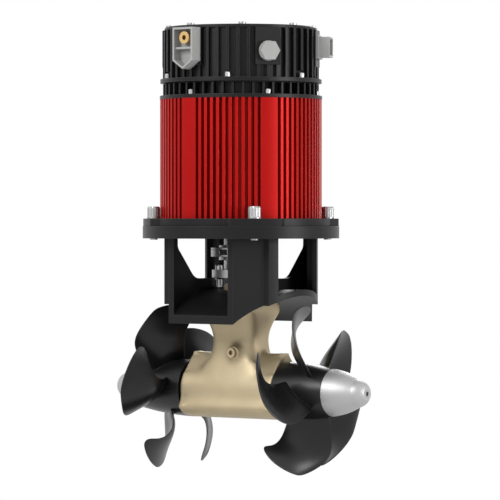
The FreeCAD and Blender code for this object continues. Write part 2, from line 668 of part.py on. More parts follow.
def ring_group_on_x(name, sides, inner, outer, low, high):
    """The same plain ring about the X axis on each of the given sides."""
    body = new_body(name)
    for number, side in enumerate(sides):
        sketch = new_sketch(body, "XZ_Plane", f"profile_{number}")
        low_side, high_side = as_size(low) * side, as_size(high) * side
        draw_outline(sketch, [(low_side, inner), (high_side, inner),
                              (high_side, outer), (low_side, outer)])
        revolve(body, f"turn_{number}", sketch, "H_Axis")
    return body


def make_drive_shaft():
    """Drive shaft from the pinion up to the coupling, with its bearing sleeve and seal."""
    radius, seat = S["drive_shaft_radius"], S["drive_bearing_seat"]
    top = S["coupling_disc_low"]
    turned("drive_shaft", [(0, S["drive_shaft_foot"]), (S["pinion_bore"], S["drive_shaft_foot"]),
                           (S["pinion_bore"], seat), (radius, seat), (radius, top - 1),
                           (radius - 1, top), (0, top)])
    edge = S["bearing_ring"]
    lows = (seat, upper_bearing_low)
    ring_group("drive_bearing_outer_rings",
               [(drive_bore - edge, drive_bore, low, low + S["drive_bearing_width"])
                for low in lows])
    ring_group("drive_bearing_inner_rings",
               [(radius, radius + edge, low, low + S["drive_bearing_width"]) for low in lows])
    wall = drive_bore - S["sleeve_wall"]
    ring_group("bearing_spacers",
               [(wall, drive_bore, pinion_bearing_top, upper_bearing_low),
                (wall, drive_bore, upper_bearing_top, S["drive_seal_place"])])
    lip = radius + S["running_gap"]
    low, high = S["drive_seal_place"], S["drive_seal_place"] + S["drive_seal_width"]
    turned("drive_shaft_seal", [(lip, low), (lip + 2, low), (lip + 4, low + 3),
                                (drive_bore - 2, low + 3), (drive_bore - 2, low),
                                (drive_bore, low), (drive_bore, high), (lip, high)])


def make_propeller_shaft(name, side):
    """Stub shaft for one propeller, stepped for wheel, bearing, seal and thread."""
    turned_on_x(f"{name}_propeller_shaft", side, [
        (S["drive_shaft_foot"] - 3, 0), (S["drive_shaft_foot"] - 3, S["wheel_bore"]),
        (S["prop_bearing_seat"], S["wheel_bore"]), (S["prop_bearing_seat"], S["prop_bearing_bore"]),
        (S["prop_journal_end"], S["prop_bearing_bore"]),
        (S["prop_journal_end"], S["prop_shaft_radius"]), (hub_end - 2, S["prop_shaft_radius"]),
        (hub_end - 2, S["prop_thread_radius"]),
        (hub_end + S["prop_thread_length"], S["prop_thread_radius"]),
        (hub_end + S["prop_thread_length"], 0)])
    body = document.getObject(f"{name}_propeller_shaft")
    hole = new_sketch(body, "XY_Plane", "pin_hole", 0)
    draw_circle(hole, (S["drive_pin_place"] * side, 0), S["drive_pin_radius"])
    pocket(body, "pin_hole", hole, 3 * S["prop_shaft_radius"], Midplane=True)
    edge = S["bearing_ring"]
    ring_group_on_x(f"{name}_bearing_inner_ring", [side], S["prop_bearing_bore"],
                    S["prop_bearing_bore"] + edge, S["prop_bearing_seat"], prop_bearing_end)
    tap = new_body(f"{name}_anode_screw")
    sketch = new_sketch(tap, "XZ_Plane", "profile")
    tip = hub_end + S["anode_length"]
    seat = tip - S["anode_screw_sink"]
    shank_end = hub_end + S["prop_thread_length"]
    socket = S["anode_screw_head"] * S["socket_share"]
    corners = [(shank_end, 0), (shank_end, S["anode_screw_radius"]),
               (seat, S["anode_screw_radius"]), (seat, S["anode_screw_head"]),
               (tip, S["anode_screw_head"]), (tip, socket), (seat + 1, socket), (seat + 1, 0)]
    draw_outline(sketch, [(as_size(x) * side, r) for x, r in corners])
    revolve(tap, "turn", sketch, "H_Axis")


def make_shared_shaft_parts():
    """Outer rings, circlips and seals that sit in both ends of the gear case."""
    both = (1, -1)
    ring_group_on_x("propeller_bearing_outer_rings", both, prop_room - S["bearing_ring"],
                    prop_room, S["prop_bearing_seat"], prop_bearing_end)
    ring_group_on_x("propeller_shaft_seals", both, S["prop_bearing_bore"] + S["running_gap"],
                    prop_room, S["prop_seal_place"], S["prop_seal_place"] + S["prop_seal_width"])
    clips = new_body("bearing_circlips")
    outer = prop_room + S["circlip_depth"]
    inner = outer - S["circlip_ring"]
    for number, side in enumerate(both):
        sketch = new_sketch(clips, "YZ_Plane", f"clip_{number}", prop_bearing_end * side)
        draw_circle(sketch, (0, 0), outer)
        draw_circle(sketch, (0, 0), inner)
        pad(clips, f"clip_{number}", sketch, S["circlip_width"], Reversed=side < 0)
    mouth = new_sketch(clips, "YZ_Plane", "mouth")
    half = S["circlip_ring"]
    draw_outline(mouth, [(-half, 0), (half, 0), (half, outer + 1), (-half, outer + 1)])
    pocket(clips, "mouth", mouth, 3 * prop_bearing_end, Midplane=True)


# ------------------------------------------------------------------- propellers

# Blade sections from root to tip, measured on the right-hand propeller: radius, then
# the angle and the distance from the blade's middle of the inner edge and outer edge.
BLADE_SECTIONS = [
    (24.0, -28, -12.0, 29, 12.5),
    (36.0, -23, -18.0, 26, 15.5),
    (52.0, -20, -20.6, 23, 15.6),
    (67.5, -29, -19.6, 18, 13.0),
    (77.5, -37, -18.0, 9, 6.3),
    (83.5, -38.5, -16.0, 1, 1.6),
    (87.0, -29, -12.0, -9, -2.6),
]
BLADE_EDGE_SHARE = 0.15


def blade_rows(side, face):
    """Points of one face of a blade, a row for each section from root to tip."""
    rows = []
    for number, section in enumerate(BLADE_SECTIONS):
        radius, inner_angle, inner_place, outer_angle, outer_place = section
        share = number / (len(BLADE_SECTIONS) - 1)
        root, edge = float(S["blade_root_thickness"]), float(S["blade_edge_thickness"])
        thickness = root + (edge - root) * share
        arc = math.radians(outer_angle - inner_angle) * radius
        run = outer_place - inner_place
        length = math.hypot(arc, run)
        cup = float(S["blade_cup"]) * (1 - share) * length / 40
        row = []
        for step in (0.0, 0.12, 0.35, 0.65, 0.88, 1.0):
            bulge = 1 - (2 * step - 1) ** 2
            belly = BLADE_EDGE_SHARE + (1 - BLADE_EDGE_SHARE) * math.sqrt(max(0.0, bulge))
            lift = cup * bulge + face * thickness / 2 * belly
            along = inner_place + run * step - lift * arc / length
            around = math.radians(inner_angle) * radius + arc * step + lift * run / length
            angle = around / radius
            row.append(FreeCAD.Vector((float(S["blade_middle"]) + along) * side,
                                      radius * math.cos(angle), radius * math.sin(angle)))
        rows.append(row)
    return rows


def blade_solid(side):
    """Blade between two smooth faces, closed round its edges by ruled strips."""
    skins = []
    for face in (1, -1):
        skin = Part.BSplineSurface()
        skin.interpolate(blade_rows(side, face))
        skins.append(skin)
    faces = [skin.toShape() for skin in skins]
    for end in (0, 1):
        for curves in ([skin.uIso(end) for skin in skins], [skin.vIso(end) for skin in skins]):
            faces.append(Part.makeRuledSurface(curves[0].toShape(), curves[1].toShape()))
    shell = Part.makeShell(faces)
    shell.sewShape()
    blade = Part.Solid(shell)
    if blade.Volume < 0:
        blade.reverse()
    return blade


def make_propeller(name, side, turn):
    """Hub and skewed blades; the left one mirrors the right one."""
    crown = S["hub_crown_radius"]
    turned_on_x(f"{name}_hub_core", side, [
        (hub_start, S["prop_shaft_radius"]), (hub_start, S["hub_root_radius"]),
        (hub_end, S["hub_end_radius"]), (hub_end, S["prop_shaft_radius"])], {1: (crown, -1)})
    hub = document.getObject(f"{name}_hub_core")
    document.recompute()
    blade = blade_solid(side)
    axis = FreeCAD.Vector(1, 0, 0)
    blades = []
    count = int(float(S["blade_count"]))
    for number in range(count):
        copy = blade.copy()
        copy.rotate(FreeCAD.Vector(), axis, float(turn) + number * 360 / count)
        blades.append(copy)
    shape = hub.Shape.fuse(blades)
    pin = Part.makeCylinder(float(S["drive_pin_radius"]), 2 * float(S["drive_pin_half_length"]),
                            FreeCAD.Vector(float(S["drive_pin_place"]) * side, 0,
                                           -float(S["drive_pin_half_length"])))
    shape = shape.cut(pin)
    propeller = document.addObject("Part::Feature", f"{name}_propeller")
    propeller.Label = f"{name}_propeller"
    propeller.Shape = shape.Solids[0]
    shear_pin = new_body(f"{name}_drive_pin")
    sketch = new_sketch(shear_pin, "XY_Plane", "profile")
    draw_circle(sketch, (S["drive_pin_place"] * side, 0), S["drive_pin_radius"])
    pad(shear_pin, "pin", sketch, 2 * S["drive_pin_half_length"], Midplane=True)


def make_anode(name, side):
    """Sacrificial nose cone with a counterbored eye for its screw."""
    tip = hub_end + S["anode_length"]
    turned_on_x(f"{name}_anode", side, [
        (hub_end, S["prop_thread_radius"]), (hub_end, S["hub_end_radius"]),
        (hub_end + S["anode_shoulder"], S["anode_shoulder_radius"]),
        (tip, S["anode_tip_radius"]), (tip, S["anode_screw_head"]),
        (tip - S["anode_screw_sink"], S["anode_screw_head"]),
        (tip - S["anode_screw_sink"], S["anode_screw_radius"]),
        (hub_end + S["prop_thread_length"], S["anode_screw_radius"]),
        (hub_end + S["prop_thread_length"], S["prop_thread_radius"])],
        {1: (S["anode_flank_radius"], -1), 2: (S["anode_nose_radius"], -1)})


# ----------------------------------------------------------------- tunnel bracket


def make_bracket():
    """Saddle, two windowed cross walls, four corner legs and the round top flange."""
    body = new_body("tunnel_bracket")
    wall_out = S["wall_inside"] + S["wall_thickness"]
    half, low_z = S["bracket_half_width"], height_on_circle(saddle_radius, S["bracket_half_width"])
    high_z = height_on_circle(saddle_top, half)
    flange_low = S["bracket_flange_bottom"]
    strip = new_sketch(body, "YZ_Plane", "saddle")
    draw_outline(strip, [(-half, low_z), (half, low_z), (half, high_z), (-half, high_z)],
                 {0: (saddle_radius, -1), 2: (saddle_top, 1)})
    pad(body, "saddle", strip, 2 * S["leg_end_radius"], Midplane=True)
    knee_x, knee_y, hook = S["leg_knee_out"], S["leg_knee_width"], S["leg_end_radius"]
    legs = new_sketch(body, "XY_Plane", "legs", low_z - 2)
    leg_floor = low_z - 2
    wall = S["leg_wall"]
    for side in (1, -1):
        outer_end = (hook * cosine(S["leg_hook_angle"]), hook * sine(S["leg_hook_angle"]))
        inner_end = ((hook - wall) * cosine(S["leg_hook_angle"]),
                     (hook - wall) * sine(S["leg_hook_angle"]))
        step_x = height_on_circle(hook, knee_y)
        inner_step = height_on_circle(hook - wall, knee_y - wall)
        lower = [(S["wall_inside"], -half), (wall_out, -half), (knee_x, -knee_y), (step_x, -knee_y),
                 (outer_end[0], -outer_end[1]), (inner_end[0], -inner_end[1]),
                 (inner_step, wall - knee_y), (knee_x - wall * 0.7, wall - knee_y),
                 (wall_out, wall * 1.9 - half)]
        upper = [(x, -y) for x, y in reversed(lower)]
        corners = [(as_size(x) * side, y) for x, y in lower + upper]
        arcs = {3: (hook, side), 5: (hook - wall, -side), 11: (hook - wall, -side),
                13: (hook, side)}
        draw_outline(legs, corners, arcs)
    pad(body, "legs", legs, flange_low - leg_floor)
    outside = new_sketch(body, "XY_Plane", "outside", leg_floor - 4)
    frame = 2 * S["bracket_flange_radius"]
    draw_outline(outside, [(-frame, -frame), (frame, -frame), (frame, frame), (-frame, frame)])
    end_x = height_on_circle(hook, knee_y)
    plan = [(wall_out, -half), (knee_x, -knee_y), (end_x, -knee_y), (end_x, knee_y),
            (knee_x, knee_y), (wall_out, half)]
    plan = plan + [(-x, -y) for x, y in plan]
    draw_outline(outside, plan, {2: (hook, 1), 8: (hook, 1)})
    pocket(body, "outside", outside, flange_low - leg_floor + 2, Reversed=True)
    under = new_sketch(body, "YZ_Plane", "tunnel")
    draw_outline(under, [(-half - 3, low_z - 6), (half + 3, low_z - 6), (half + 3, low_z),
                         (half, low_z), (-half, low_z), (-half - 3, low_z)],
                 {3: (saddle_radius, 1)})
    pocket(body, "tunnel", under, 4 * S["leg_end_radius"], Midplane=True)
    window = new_sketch(body, "YZ_Plane", "window")
    slope, foot, top_half = S["window_slope"], S["window_low_half"], S["window_top_half"]
    ease = S["window_corner"] * sine(slope) / (1 + cosine(slope))
    top_ease = S["window_top_corner"] * cosine(slope) / (1 + sine(slope))
    knee = S["window_bottom"] + (top_half - foot) * sine(slope) / cosine(slope)
    right = [(foot - ease, S["window_bottom"]),
             (foot + ease * cosine(slope), S["window_bottom"] + ease * sine(slope)),
             (top_half - top_ease * cosine(slope), knee - top_ease * sine(slope)),
             (top_half, knee + top_ease), (top_half, flange_low)]
    draw_outline(window, right + [(-y, z) for y, z in reversed(right)],
                 {0: (S["window_corner"], 1), 2: (S["window_top_corner"], 1),
                  6: (S["window_top_corner"], 1), 8: (S["window_corner"], 1)})
    pocket(body, "windows", window, 2 * wall_out + 0.2, Midplane=True)
    flange = new_sketch(body, "XY_Plane", "flange", flange_low)
    draw_circle(flange, (0, 0), S["bracket_flange_radius"])
    draw_circle(flange, (0, 0), S["motor_boss_radius"] + S["free_gap"])
    pad(body, "flange", flange, S["bracket_flange_thickness"])
    bosses = new_sketch(body, "XY_Plane", "bolt_bosses", saddle_radius + 2)
    holes = new_sketch(body, "XY_Plane", "saddle_holes", leg_bolt_seat + 1)
    for side in (1, -1):
        place = (S["leg_bolt_place"] * side, 0)
        draw_circle(bosses, place, S["leg_bolt_boss"])
        draw_circle(holes, place, S["leg_bolt_radius"] + S["bolt_gap"])
    pad(body, "bolt_bosses", bosses, leg_bolt_seat - saddle_radius - 2)
    pocket(body, "bolt_holes", holes, 40)
    eye = new_sketch(body, "XY_Plane", "spigot_hole", leg_bolt_seat + 1)
    draw_circle(eye, (0, 0), S["spigot_radius"] + S["free_gap"])
    pocket(body, "spigot_hole", eye, 40)
    bolt = new_sketch(body, "XY_Plane", "flange_hole", flange_top)
    angle = S["flange_bolt_turn"]
    draw_circle(bolt, (S["flange_bolt_circle"] * cosine(angle),
                       S["flange_bolt_circle"] * sine(angle)), S["leg_bolt_radius"])
    hole = pocket(body, "flange_hole", bolt, S["bracket_flange_thickness"] + 1)
    repeat_round(body, "flange_holes", [hole], 4)
    return body


# ---------------------------------------------------------------------- coupling


def make_coupling():
    """Jaw coupling: clamped lower half, rubber spider and upper half."""
    radius, neck = S["coupling_radius"], S["coupling_neck_radius"]
    disc_top = S["coupling_disc_low"] + S["coupling_disc"]
    jaw_top = disc_top + S["jaw_height"]
    lower = turned("lower_coupling_half", [
        (S["drive_shaft_radius"], S["coupling_foot"]), (neck, S["coupling_foot"]),
        (neck, S["clamp_ring_low"]), (S["clamp_ring_radius"], S["clamp_ring_low"]),
        (S["clamp_ring_radius"], S["clamp_ring_high"]), (neck, S["clamp_ring_high"]),
        (neck, S["coupling_step_low"]), (S["coupling_step_radius"], S["coupling_step_low"]),
        (S["coupling_step_radius"], S["coupling_disc_low"]), (radius, S["coupling_disc_low"]),
        (radius, disc_top), (S["drive_shaft_radius"], disc_top)])
    upper_disc = jaw_top + S["spider_gap"]
    step_top = upper_disc + S["coupling_disc"] + S["coupling_step"]
    upper = turned("upper_coupling_half", [
        (S["motor_shaft_nose"], upper_disc), (radius, upper_disc),
        (radius, upper_disc + S["coupling_disc"]),
        (S["coupling_step_radius"], upper_disc + S["coupling_disc"]),
        (S["coupling_step_radius"], step_top), (neck, step_top), (neck, S["coupling_top"]),
        (S["motor_shaft_nose"], S["coupling_top"])])
    for body, start, middle, downward in ((lower, disc_top, 0, False),
                                          (upper, upper_disc, 60, True)):
        jaw = new_sketch(body, "XY_Plane", "jaw", start)
        sector(jaw, S["jaw_inside"], radius, S["jaw_half_angle"], middle)
        tooth = pad(body, "jaw", jaw, S["jaw_height"], Reversed=downward)
        repeat_round(body, "jaws", [tooth], 3)
    spider = new_body("coupling_spider")
    hub = new_sketch(spider, "XY_Plane", "hub", disc_top)
    draw_circle(hub, (0, 0), S["spider_hub"])
    pad(spider, "hub", hub, S["jaw_height"])
    arm = new_sketch(spider, "XY_Plane", "arm", disc_top)
    half_angle = 30 - S["jaw_half_angle"] - S["spider_gap"] * 2
    sector(arm, S["spider_hub"] - 3, radius - 0.6, half_angle, 30)
    finger = pad(spider, "arm", arm, S["jaw_height"])
    repeat_round(spider, "arms", [finger], 6)
    screw_ring("coupling_clamp_screws", S["clamp_screw_count"], S["clamp_screw_place"], 0,
               S["clamp_ring_high"], S["clamp_screw_head"], 5, 2.4, 7)
    holes = new_sketch(lower, "XY_Plane", "screw_hole", S["clamp_ring_high"])
    draw_circle(holes, (S["clamp_screw_place"], 0), 2.4)
    hole = pocket(lower, "screw_hole", holes, 7)
    repeat_round(lower, "screw_holes", [hole], S["clamp_screw_count"])


# ------------------------------------------------------------------------- motor


def make_motor_flange():
    """Lobed end shield between bracket and motor, with the lower bearing's boss."""
    body = new_body("motor_flange")
    plate = new_sketch(body, "XY_Plane", "plate", flange_top)
    corners, arcs = [], {}
    for number in range(4):
        middle = S["flange_bolt_turn"] + 90 * number
        spread, ease = S["motor_lobe_angle"], S["motor_lobe_angle"] + S["motor_lobe_ease"]
        for angle, radius in ((middle - ease, S["motor_flange_radius"]),
                              (middle - spread, S["motor_lobe_radius"]),
                              (middle + spread, S["motor_lobe_radius"]),
                              (middle + ease, S["motor_flange_radius"])):
            corners.append((radius * cosine(angle), radius * sine(angle)))
        arcs[4 * number + 1] = (S["motor_lobe_radius"], 1)
        arcs[4 * number + 3] = (S["motor_flange_radius"], 1)
    draw_outline(plate, corners, arcs)
    pad(body, "plate", plate, S["motor_flange_thickness"])
    boss = new_sketch(body, "XY_Plane", "boss", flange_top)
    draw_circle(boss, (0, 0), S["motor_boss_radius"])
    pad(body, "boss", boss, S["motor_boss_depth"], Reversed=True)
    bore = new_sketch(body, "XZ_Plane", "bore")
    boss_low = flange_top - S["motor_boss_depth"]
    draw_outline(bore, [(0, boss_low - 1), (S["motor_boss_eye"], boss_low - 1),
                        (S["motor_boss_eye"], motor_bearing_low),
                        (S["motor_bearing_radius"], motor_bearing_low),
                        (S["motor_bearing_radius"], motor_low + 1), (0, motor_low + 1)])
    revolve(body, "bore", bore, kind="Groove")
    hole_ring(body, "bolt_hole", 4, S["flange_bolt_circle"], S["flange_bolt_turn"], motor_low,
              S["leg_bolt_radius"], S["motor_flange_thickness"] + 1)


def make_motor_housing():
    """Extruded barrel with six plain columns and deep cooling ribs between them."""
    body = new_body("motor_housing")
    tube = new_sketch(body, "XY_Plane", "tube", motor_low)
    draw_circle(tube, (0, 0), S["motor_radius"])
    draw_circle(tube, (0, 0), S["motor_bore"])
    pad(body, "tube", tube, S["motor_length"])
    slots = new_sketch(body, "XY_Plane", "slots", motor_high)
    reach, floor = S["motor_radius"] + 2, S["motor_radius"] - S["slot_depth"]
    wide, narrow = S["slot_width"] / 2, S["slot_floor_width"] / 2
    count = int(float(S["rib_slots"]))
    for number in range(count):
        angle = 30 + S["rib_pitch"] * (number - (count - 1) / 2)
        along, across = cosine(angle), sine(angle)
        corners = [(r * along - w * across, r * across + w * along)
                   for r, w in ((floor, -narrow), (reach, -wide), (reach, wide), (floor, narrow))]
        draw_outline(slots, corners)
    cut = pocket(body, "slots", slots, S["motor_length"])
    repeat_round(body, "all_slots", [cut], S["column_count"])
    hole_ring(body, "screw_hole", S["column_count"], S["plate_screw_circle"], 0, motor_high,
              S["small_screw_shank"], S["small_screw_depth"])
    turn_body(body, S["motor_turn"])


def make_motor_inside():
    """Shaft, rotor, magnets, stator and windings with their bearings."""
    shaft, nose = S["motor_shaft_radius"], S["motor_shaft_nose"]
    shaft_top = motor_high - 0.5 + S["shaft_top_overlap"]
    turned("motor_shaft", [(0, S["motor_shaft_foot"]), (nose, S["motor_shaft_foot"]),
                           (nose, S["motor_shaft_step"]), (shaft, S["motor_shaft_step"]),
                           (shaft, shaft_top), (0, shaft_top)])
    edge = S["bearing_ring"]
    low_end, top_end = motor_bearing_low, top_bearing_low
    ring_group("motor_bearing_outer_rings", [
        (S["motor_bearing_radius"] - edge, S["motor_bearing_radius"], low_end,
         low_end + S["motor_bearing_width"]),
        (S["top_bearing_radius"] - edge, S["top_bearing_radius"], top_end,
         top_end + S["top_bearing_width"])])
    ring_group("motor_bearing_inner_rings", [
        (shaft, shaft + edge, low_end, low_end + S["motor_bearing_width"]),
        (shaft, shaft + edge, top_end, top_end + S["top_bearing_width"])])
    rotor_low = S["stator_low"] + S["rotor_inset"]
    rotor_length = S["stator_length"] - 2 * S["rotor_inset"]
    core = S["rotor_radius"] - S["magnet_thickness"]
    turned("rotor_core", ring(shaft, core, rotor_low, rotor_low + rotor_length))
    magnets = new_body("rotor_magnets")
    plate = new_sketch(magnets, "XY_Plane", "magnet", rotor_low)
    sector(plate, core, S["rotor_radius"], S["magnet_half_angle"])
    bar = pad(magnets, "magnet", plate, rotor_length)
    repeat_round(magnets, "ring", [bar], S["magnet_count"])
    stator = new_body("stator_core")
    disc = new_sketch(stator, "XY_Plane", "disc", S["stator_low"])
    draw_circle(disc, (0, 0), S["motor_bore"])
    draw_circle(disc, (0, 0), S["stator_inside"])
    pad(stator, "stack", disc, S["stator_length"])
    slot = new_sketch(stator, "XY_Plane", "slot", S["stator_low"] + S["stator_length"])
    sector(slot, S["stator_slot_in"], S["stator_slot_out"], S["slot_half_angle"])
    cut = pocket(stator, "slot", slot, S["stator_length"])
    repeat_round(stator, "slots", [cut], S["stator_slots"])
    winding = new_body("stator_windings")
    inside, outside = S["stator_slot_in"] + S["winding_gap"], S["stator_slot_out"] - S["winding_gap"]
    for name, low in (("low_turns", S["stator_low"] - S["end_turn"]),
                      ("high_turns", S["stator_low"] + S["stator_length"])):
        turns = new_sketch(winding, "XY_Plane", name, low)
        draw_circle(turns, (0, 0), outside)
        draw_circle(turns, (0, 0), inside)
        pad(winding, name, turns, S["end_turn"])
    bars = new_sketch(winding, "XY_Plane", "bar", S["stator_low"])
    sector(bars, inside, outside, S["slot_half_angle"] - S["winding_gap"])
    coil = pad(winding, "bar", bars, S["stator_length"])
    repeat_round(winding, "bars", [coil], S["stator_slots"])


# --------------------------------------------------------- drive: sink and cover


def radial_fin(sketch, low, high, thickness, middle=0.0):
    """Plan of one fin standing out along a radius."""
    along, across = cosine(middle), sine(middle)
    half = thickness / 2
    corners = [(r * along - w * across, r * across + w * along)
               for r, w in ((low, -half), (high, -half), (high, half), (low, half))]
    draw_outline(sketch, corners)


def make_heat_sink():
    """Motor end plate and finned sink in one casting, with the upper bearing's boss."""
    body = new_body("drive_heat_sink")
    boss = S["top_bearing_radius"] + S["top_boss_wall"]
    boss_low = motor_high - S["top_boss_depth"]
    section = new_sketch(body, "XZ_Plane", "section")
    floor = plate_top + S["sink_floor"]
    draw_outline(section, [
        (S["top_bearing_radius"], top_bearing_low), (S["top_bearing_radius"], motor_high),
        (S["motor_shaft_radius"] + 2, motor_high), (S["motor_shaft_radius"] + 2, floor),
        (S["sink_wall_in"], floor), (S["sink_wall_in"], sink_top), (S["sink_wall_out"], sink_top),
        (S["sink_wall_out"], plate_top), (S["plate_radius"], plate_top),
        (S["plate_radius"], motor_high), (boss, motor_high), (boss, boss_low),
        (S["top_bearing_radius"] - 4, boss_low), (S["top_bearing_radius"] - 4, top_bearing_low)])
    revolve(body, "casting", section)
    fin = new_sketch(body, "XY_Plane", "fin", plate_top)
    half_pitch = 180 / S["sink_fins"]
    radial_fin(fin, S["sink_wall_out"] - 1, S["fin_reach"], S["fin_thickness"], half_pitch)
    web = pad(body, "fin", fin, S["sink_height"] - S["plate_thickness"])
    repeat_round(body, "fins", [web], S["sink_fins"])
    post = new_sketch(body, "XY_Plane", "post", floor)
    draw_circle(post, (S["post_circle"], 0), S["post_radius"])
    stand = pad(body, "post", post, S["board_lift"])
    repeat_round(body, "posts", [stand], S["post_count"])
    hole_ring(body, "screw_hole", S["column_count"], S["plate_screw_circle"], 0, plate_top,
              S["small_screw_shank"], S["plate_thickness"] + 1)
    turn_body(body, S["motor_turn"])


def make_drive_cover():
    """Cover with its flange ring, upright fins and six flat pads, open at the top."""
    body = new_body("drive_cover")
    section = new_sketch(body, "XZ_Plane", "section")
    draw_outline(section, [
        (S["cover_wall_in"], gasket_top), (S["cover_ring_radius"], gasket_top),
        (S["cover_ring_radius"], cover_ring_top), (S["cover_wall_out"], cover_ring_top),
        (S["cover_wall_out"], cover_top), (S["cover_wall_in"], cover_top)])
    revolve(body, "shell", section)
    fins = new_sketch(body, "XY_Plane", "fins", cover_ring_top)
    count = int(float(S["cover_fins"]))
    for number in range(count):
        middle = 30 + S["cover_fin_pitch"] * (number - (count - 1) / 2)
        radial_fin(fins, S["cover_wall_out"] - 1, S["cover_fin_reach"],
                   S["cover_fin_thickness"], middle)
    group = pad(body, "fins", fins, cover_top - cover_ring_top)
    repeat_round(body, "all_fins", [group], S["column_count"])
    flat = new_sketch(body, "XY_Plane", "pad", S["pad_low"])
    half, inside = S["pad_half_width"], S["cover_wall_in"] + 1.5
    draw_outline(flat, [(inside, -half), (S["pad_reach"], -half), (S["pad_reach"], half),
                        (inside, half)])
    panel = pad(body, "pad", flat, cover_top - S["pad_low"])
    repeat_round(body, "pads", [panel], S["column_count"])
    below = new_sketch(body, "XY_Plane", "low_fins", cover_ring_top)
    for number in (-1, 0, 1):
        radial_fin(below, S["cover_wall_out"] - 1, S["cover_fin_reach"] - 1,
                   S["cover_fin_thickness"], S["cover_fin_pitch"] * number)
    short = pad(body, "low_fins", below, S["pad_low"] - cover_ring_top)
    repeat_round(body, "all_low_fins", [short], S["column_count"])
    room = new_sketch(body, "XY_Plane", "room", cover_top)
    draw_circle(room, (0, 0), S["cover_wall_in"])
    pocket(body, "room", room, S["cover_height"])
    openings = [(0, S["plug_height"], S["plug_shank_radius"]),
                (60, S["connector_height"], S["connector_half_height"] * 0.6),
                (-60, S["terminal_stud_height"], S["terminal_stud_radius"]),
                (120, S["terminal_stud_height"], S["terminal_stud_radius"])]
    for number, (angle, height, radius) in enumerate(openings):
        hole = new_sketch(body, "YZ_Plane", f"hole_{number}")
        hole.AttachmentOffset = FreeCAD.Placement(
            FreeCAD.Vector(), FreeCAD.Rotation(FreeCAD.Vector(0, 1, 0), angle))
        draw_circle(hole, (0, height), radius)
        pocket(body, f"hole_{number}", hole, S["pad_reach"] + 5, Reversed=True)
    hole_ring(body, "ring_hole", S["column_count"], S["ring_screw_circle"], 30, cover_ring_top,
              S["small_screw_shank"], S["cover_ring_thickness"] + 1)
    hole_ring(body, "head_room", S["column_count"], S["ring_screw_circle"], 30,
              cover_ring_top + S["head_room"], S["small_screw_head"] + S["free_gap"],
              S["head_room"])
    hole_ring(body, "lid_hole", S["lid_screw_count"], S["lid_screw_circle"],
              S["lid_screw_turn"] - S["motor_turn"], cover_top, S["small_screw_shank"],
              S["small_screw_depth"])
    turn_body(body, S["motor_turn"])


def make_lid_and_gasket():
    """Flat lid on the cover and the gasket under the cover's ring."""
    top = cover_top + S["lid_thickness"]
    lid = turned("drive_lid", [(0, cover_top), (S["lid_radius"], cover_top),
                               (S["lid_radius"], top - 1), (S["lid_radius"] - 1, top), (0, top)])
    hole_ring(lid, "lid_hole", S["lid_screw_count"], S["lid_screw_circle"], S["lid_screw_turn"],
              top, S["small_screw_shank"], S["lid_thickness"] + 1)
    middle = (S["sink_wall_in"] + S["sink_wall_out"]) / 2 + 2
    half = S["gasket_half_width"]
    turned("drive_gasket", ring(middle - half, middle + half, sink_top, gasket_top))


def make_terminal(name, turn):
    """Open-fronted terminal housing with a brass stud, lying along a radius."""
    body = new_body(f"{name}_terminal_housing")
    half, reach, tip = S["terminal_half_width"], S["terminal_reach"], S["terminal_tip"]
    shoulder, top, wall = S["terminal_shoulder"], S["terminal_top"], S["terminal_wall"]
    outer = [(-half, shoulder), (0, tip), (half, shoulder), (half, top), (-half, top)]
    block = new_sketch(body, "YZ_Plane", "block", S["pad_reach"])
    draw_outline(block, outer)
    pad(body, "block", block, reach - S["pad_reach"])
    inside = half - wall
    hollow = new_sketch(body, "YZ_Plane", "hollow", reach)
    draw_outline(hollow, [(-inside, shoulder + wall / 2), (0, tip + wall), (inside, shoulder + wall / 2),
                          (inside, top - wall), (-inside, top - wall)])
    pocket(body, "hollow", hollow, reach - S["pad_reach"] - S["terminal_back"])
    shelf = new_sketch(body, "YZ_Plane", "shelf", S["pad_reach"])
    shelf_low = S["terminal_shelf"] - wall
    draw_outline(shelf, [(-inside, shelf_low), (inside, shelf_low),
                         (inside, S["terminal_shelf"]), (-inside, S["terminal_shelf"])])
    pad(body, "shelf", shelf, (reach - S["pad_reach"]) * 0.8)
    eye = new_sketch(body, "YZ_Plane", "eye", reach)
    draw_circle(eye, (0, S["terminal_stud_height"]), S["terminal_stud_radius"])
    pocket(body, "eye", eye, reach - S["pad_reach"] + 1)
    turn_body(body, turn)
    stud = new_body(f"{name}_terminal_stud")
    low = reach - 2.5 - S["terminal_stud_length"]
    start = new_sketch(stud, "YZ_Plane", "stud", low - 3)
    draw_circle(start, (0, S["terminal_stud_height"]), S["terminal_stud_radius"])
    pad(stud, "stud", start, S["terminal_stud_length"] + 3)
    thread = new_sketch(stud, "YZ_Plane", "thread", reach - 2.5)
    draw_circle(thread, (0, S["terminal_stud_height"]), S["terminal_thread_radius"])
    pocket(stud, "thread", thread, S["terminal_stud_length"])
    turn_body(stud, turn)


def make_vent_plug():
    """Hexagonal plug with a round collar on the pad beside the first terminal."""
    body = new_body("vent_plug")
    flat = S["plug_across_flats"] / 2
    corner = flat / cosine(30)
    collar = new_sketch(body, "YZ_Plane", "collar", S["pad_reach"])
    draw_circle(collar, (0, S["plug_height"]), S["plug_collar_radius"])
    pad(body, "collar", collar, S["plug_collar"])
    head = new_sketch(body, "YZ_Plane", "head", S["pad_reach"] + S["plug_collar"])
    draw_outline(head, [(corner * cosine(60 * n), S["plug_height"] + corner * sine(60 * n))
                        for n in range(6)])
    pad(body, "head", head, S["plug_head"])
    shank = new_sketch(body, "YZ_Plane", "shank", S["pad_reach"])
    draw_circle(shank, (0, S["plug_height"]), S["plug_shank_radius"])
    pad(body, "shank", shank, S["plug_shank"], Reversed=True)
    turn_body(body, S["motor_turn"])


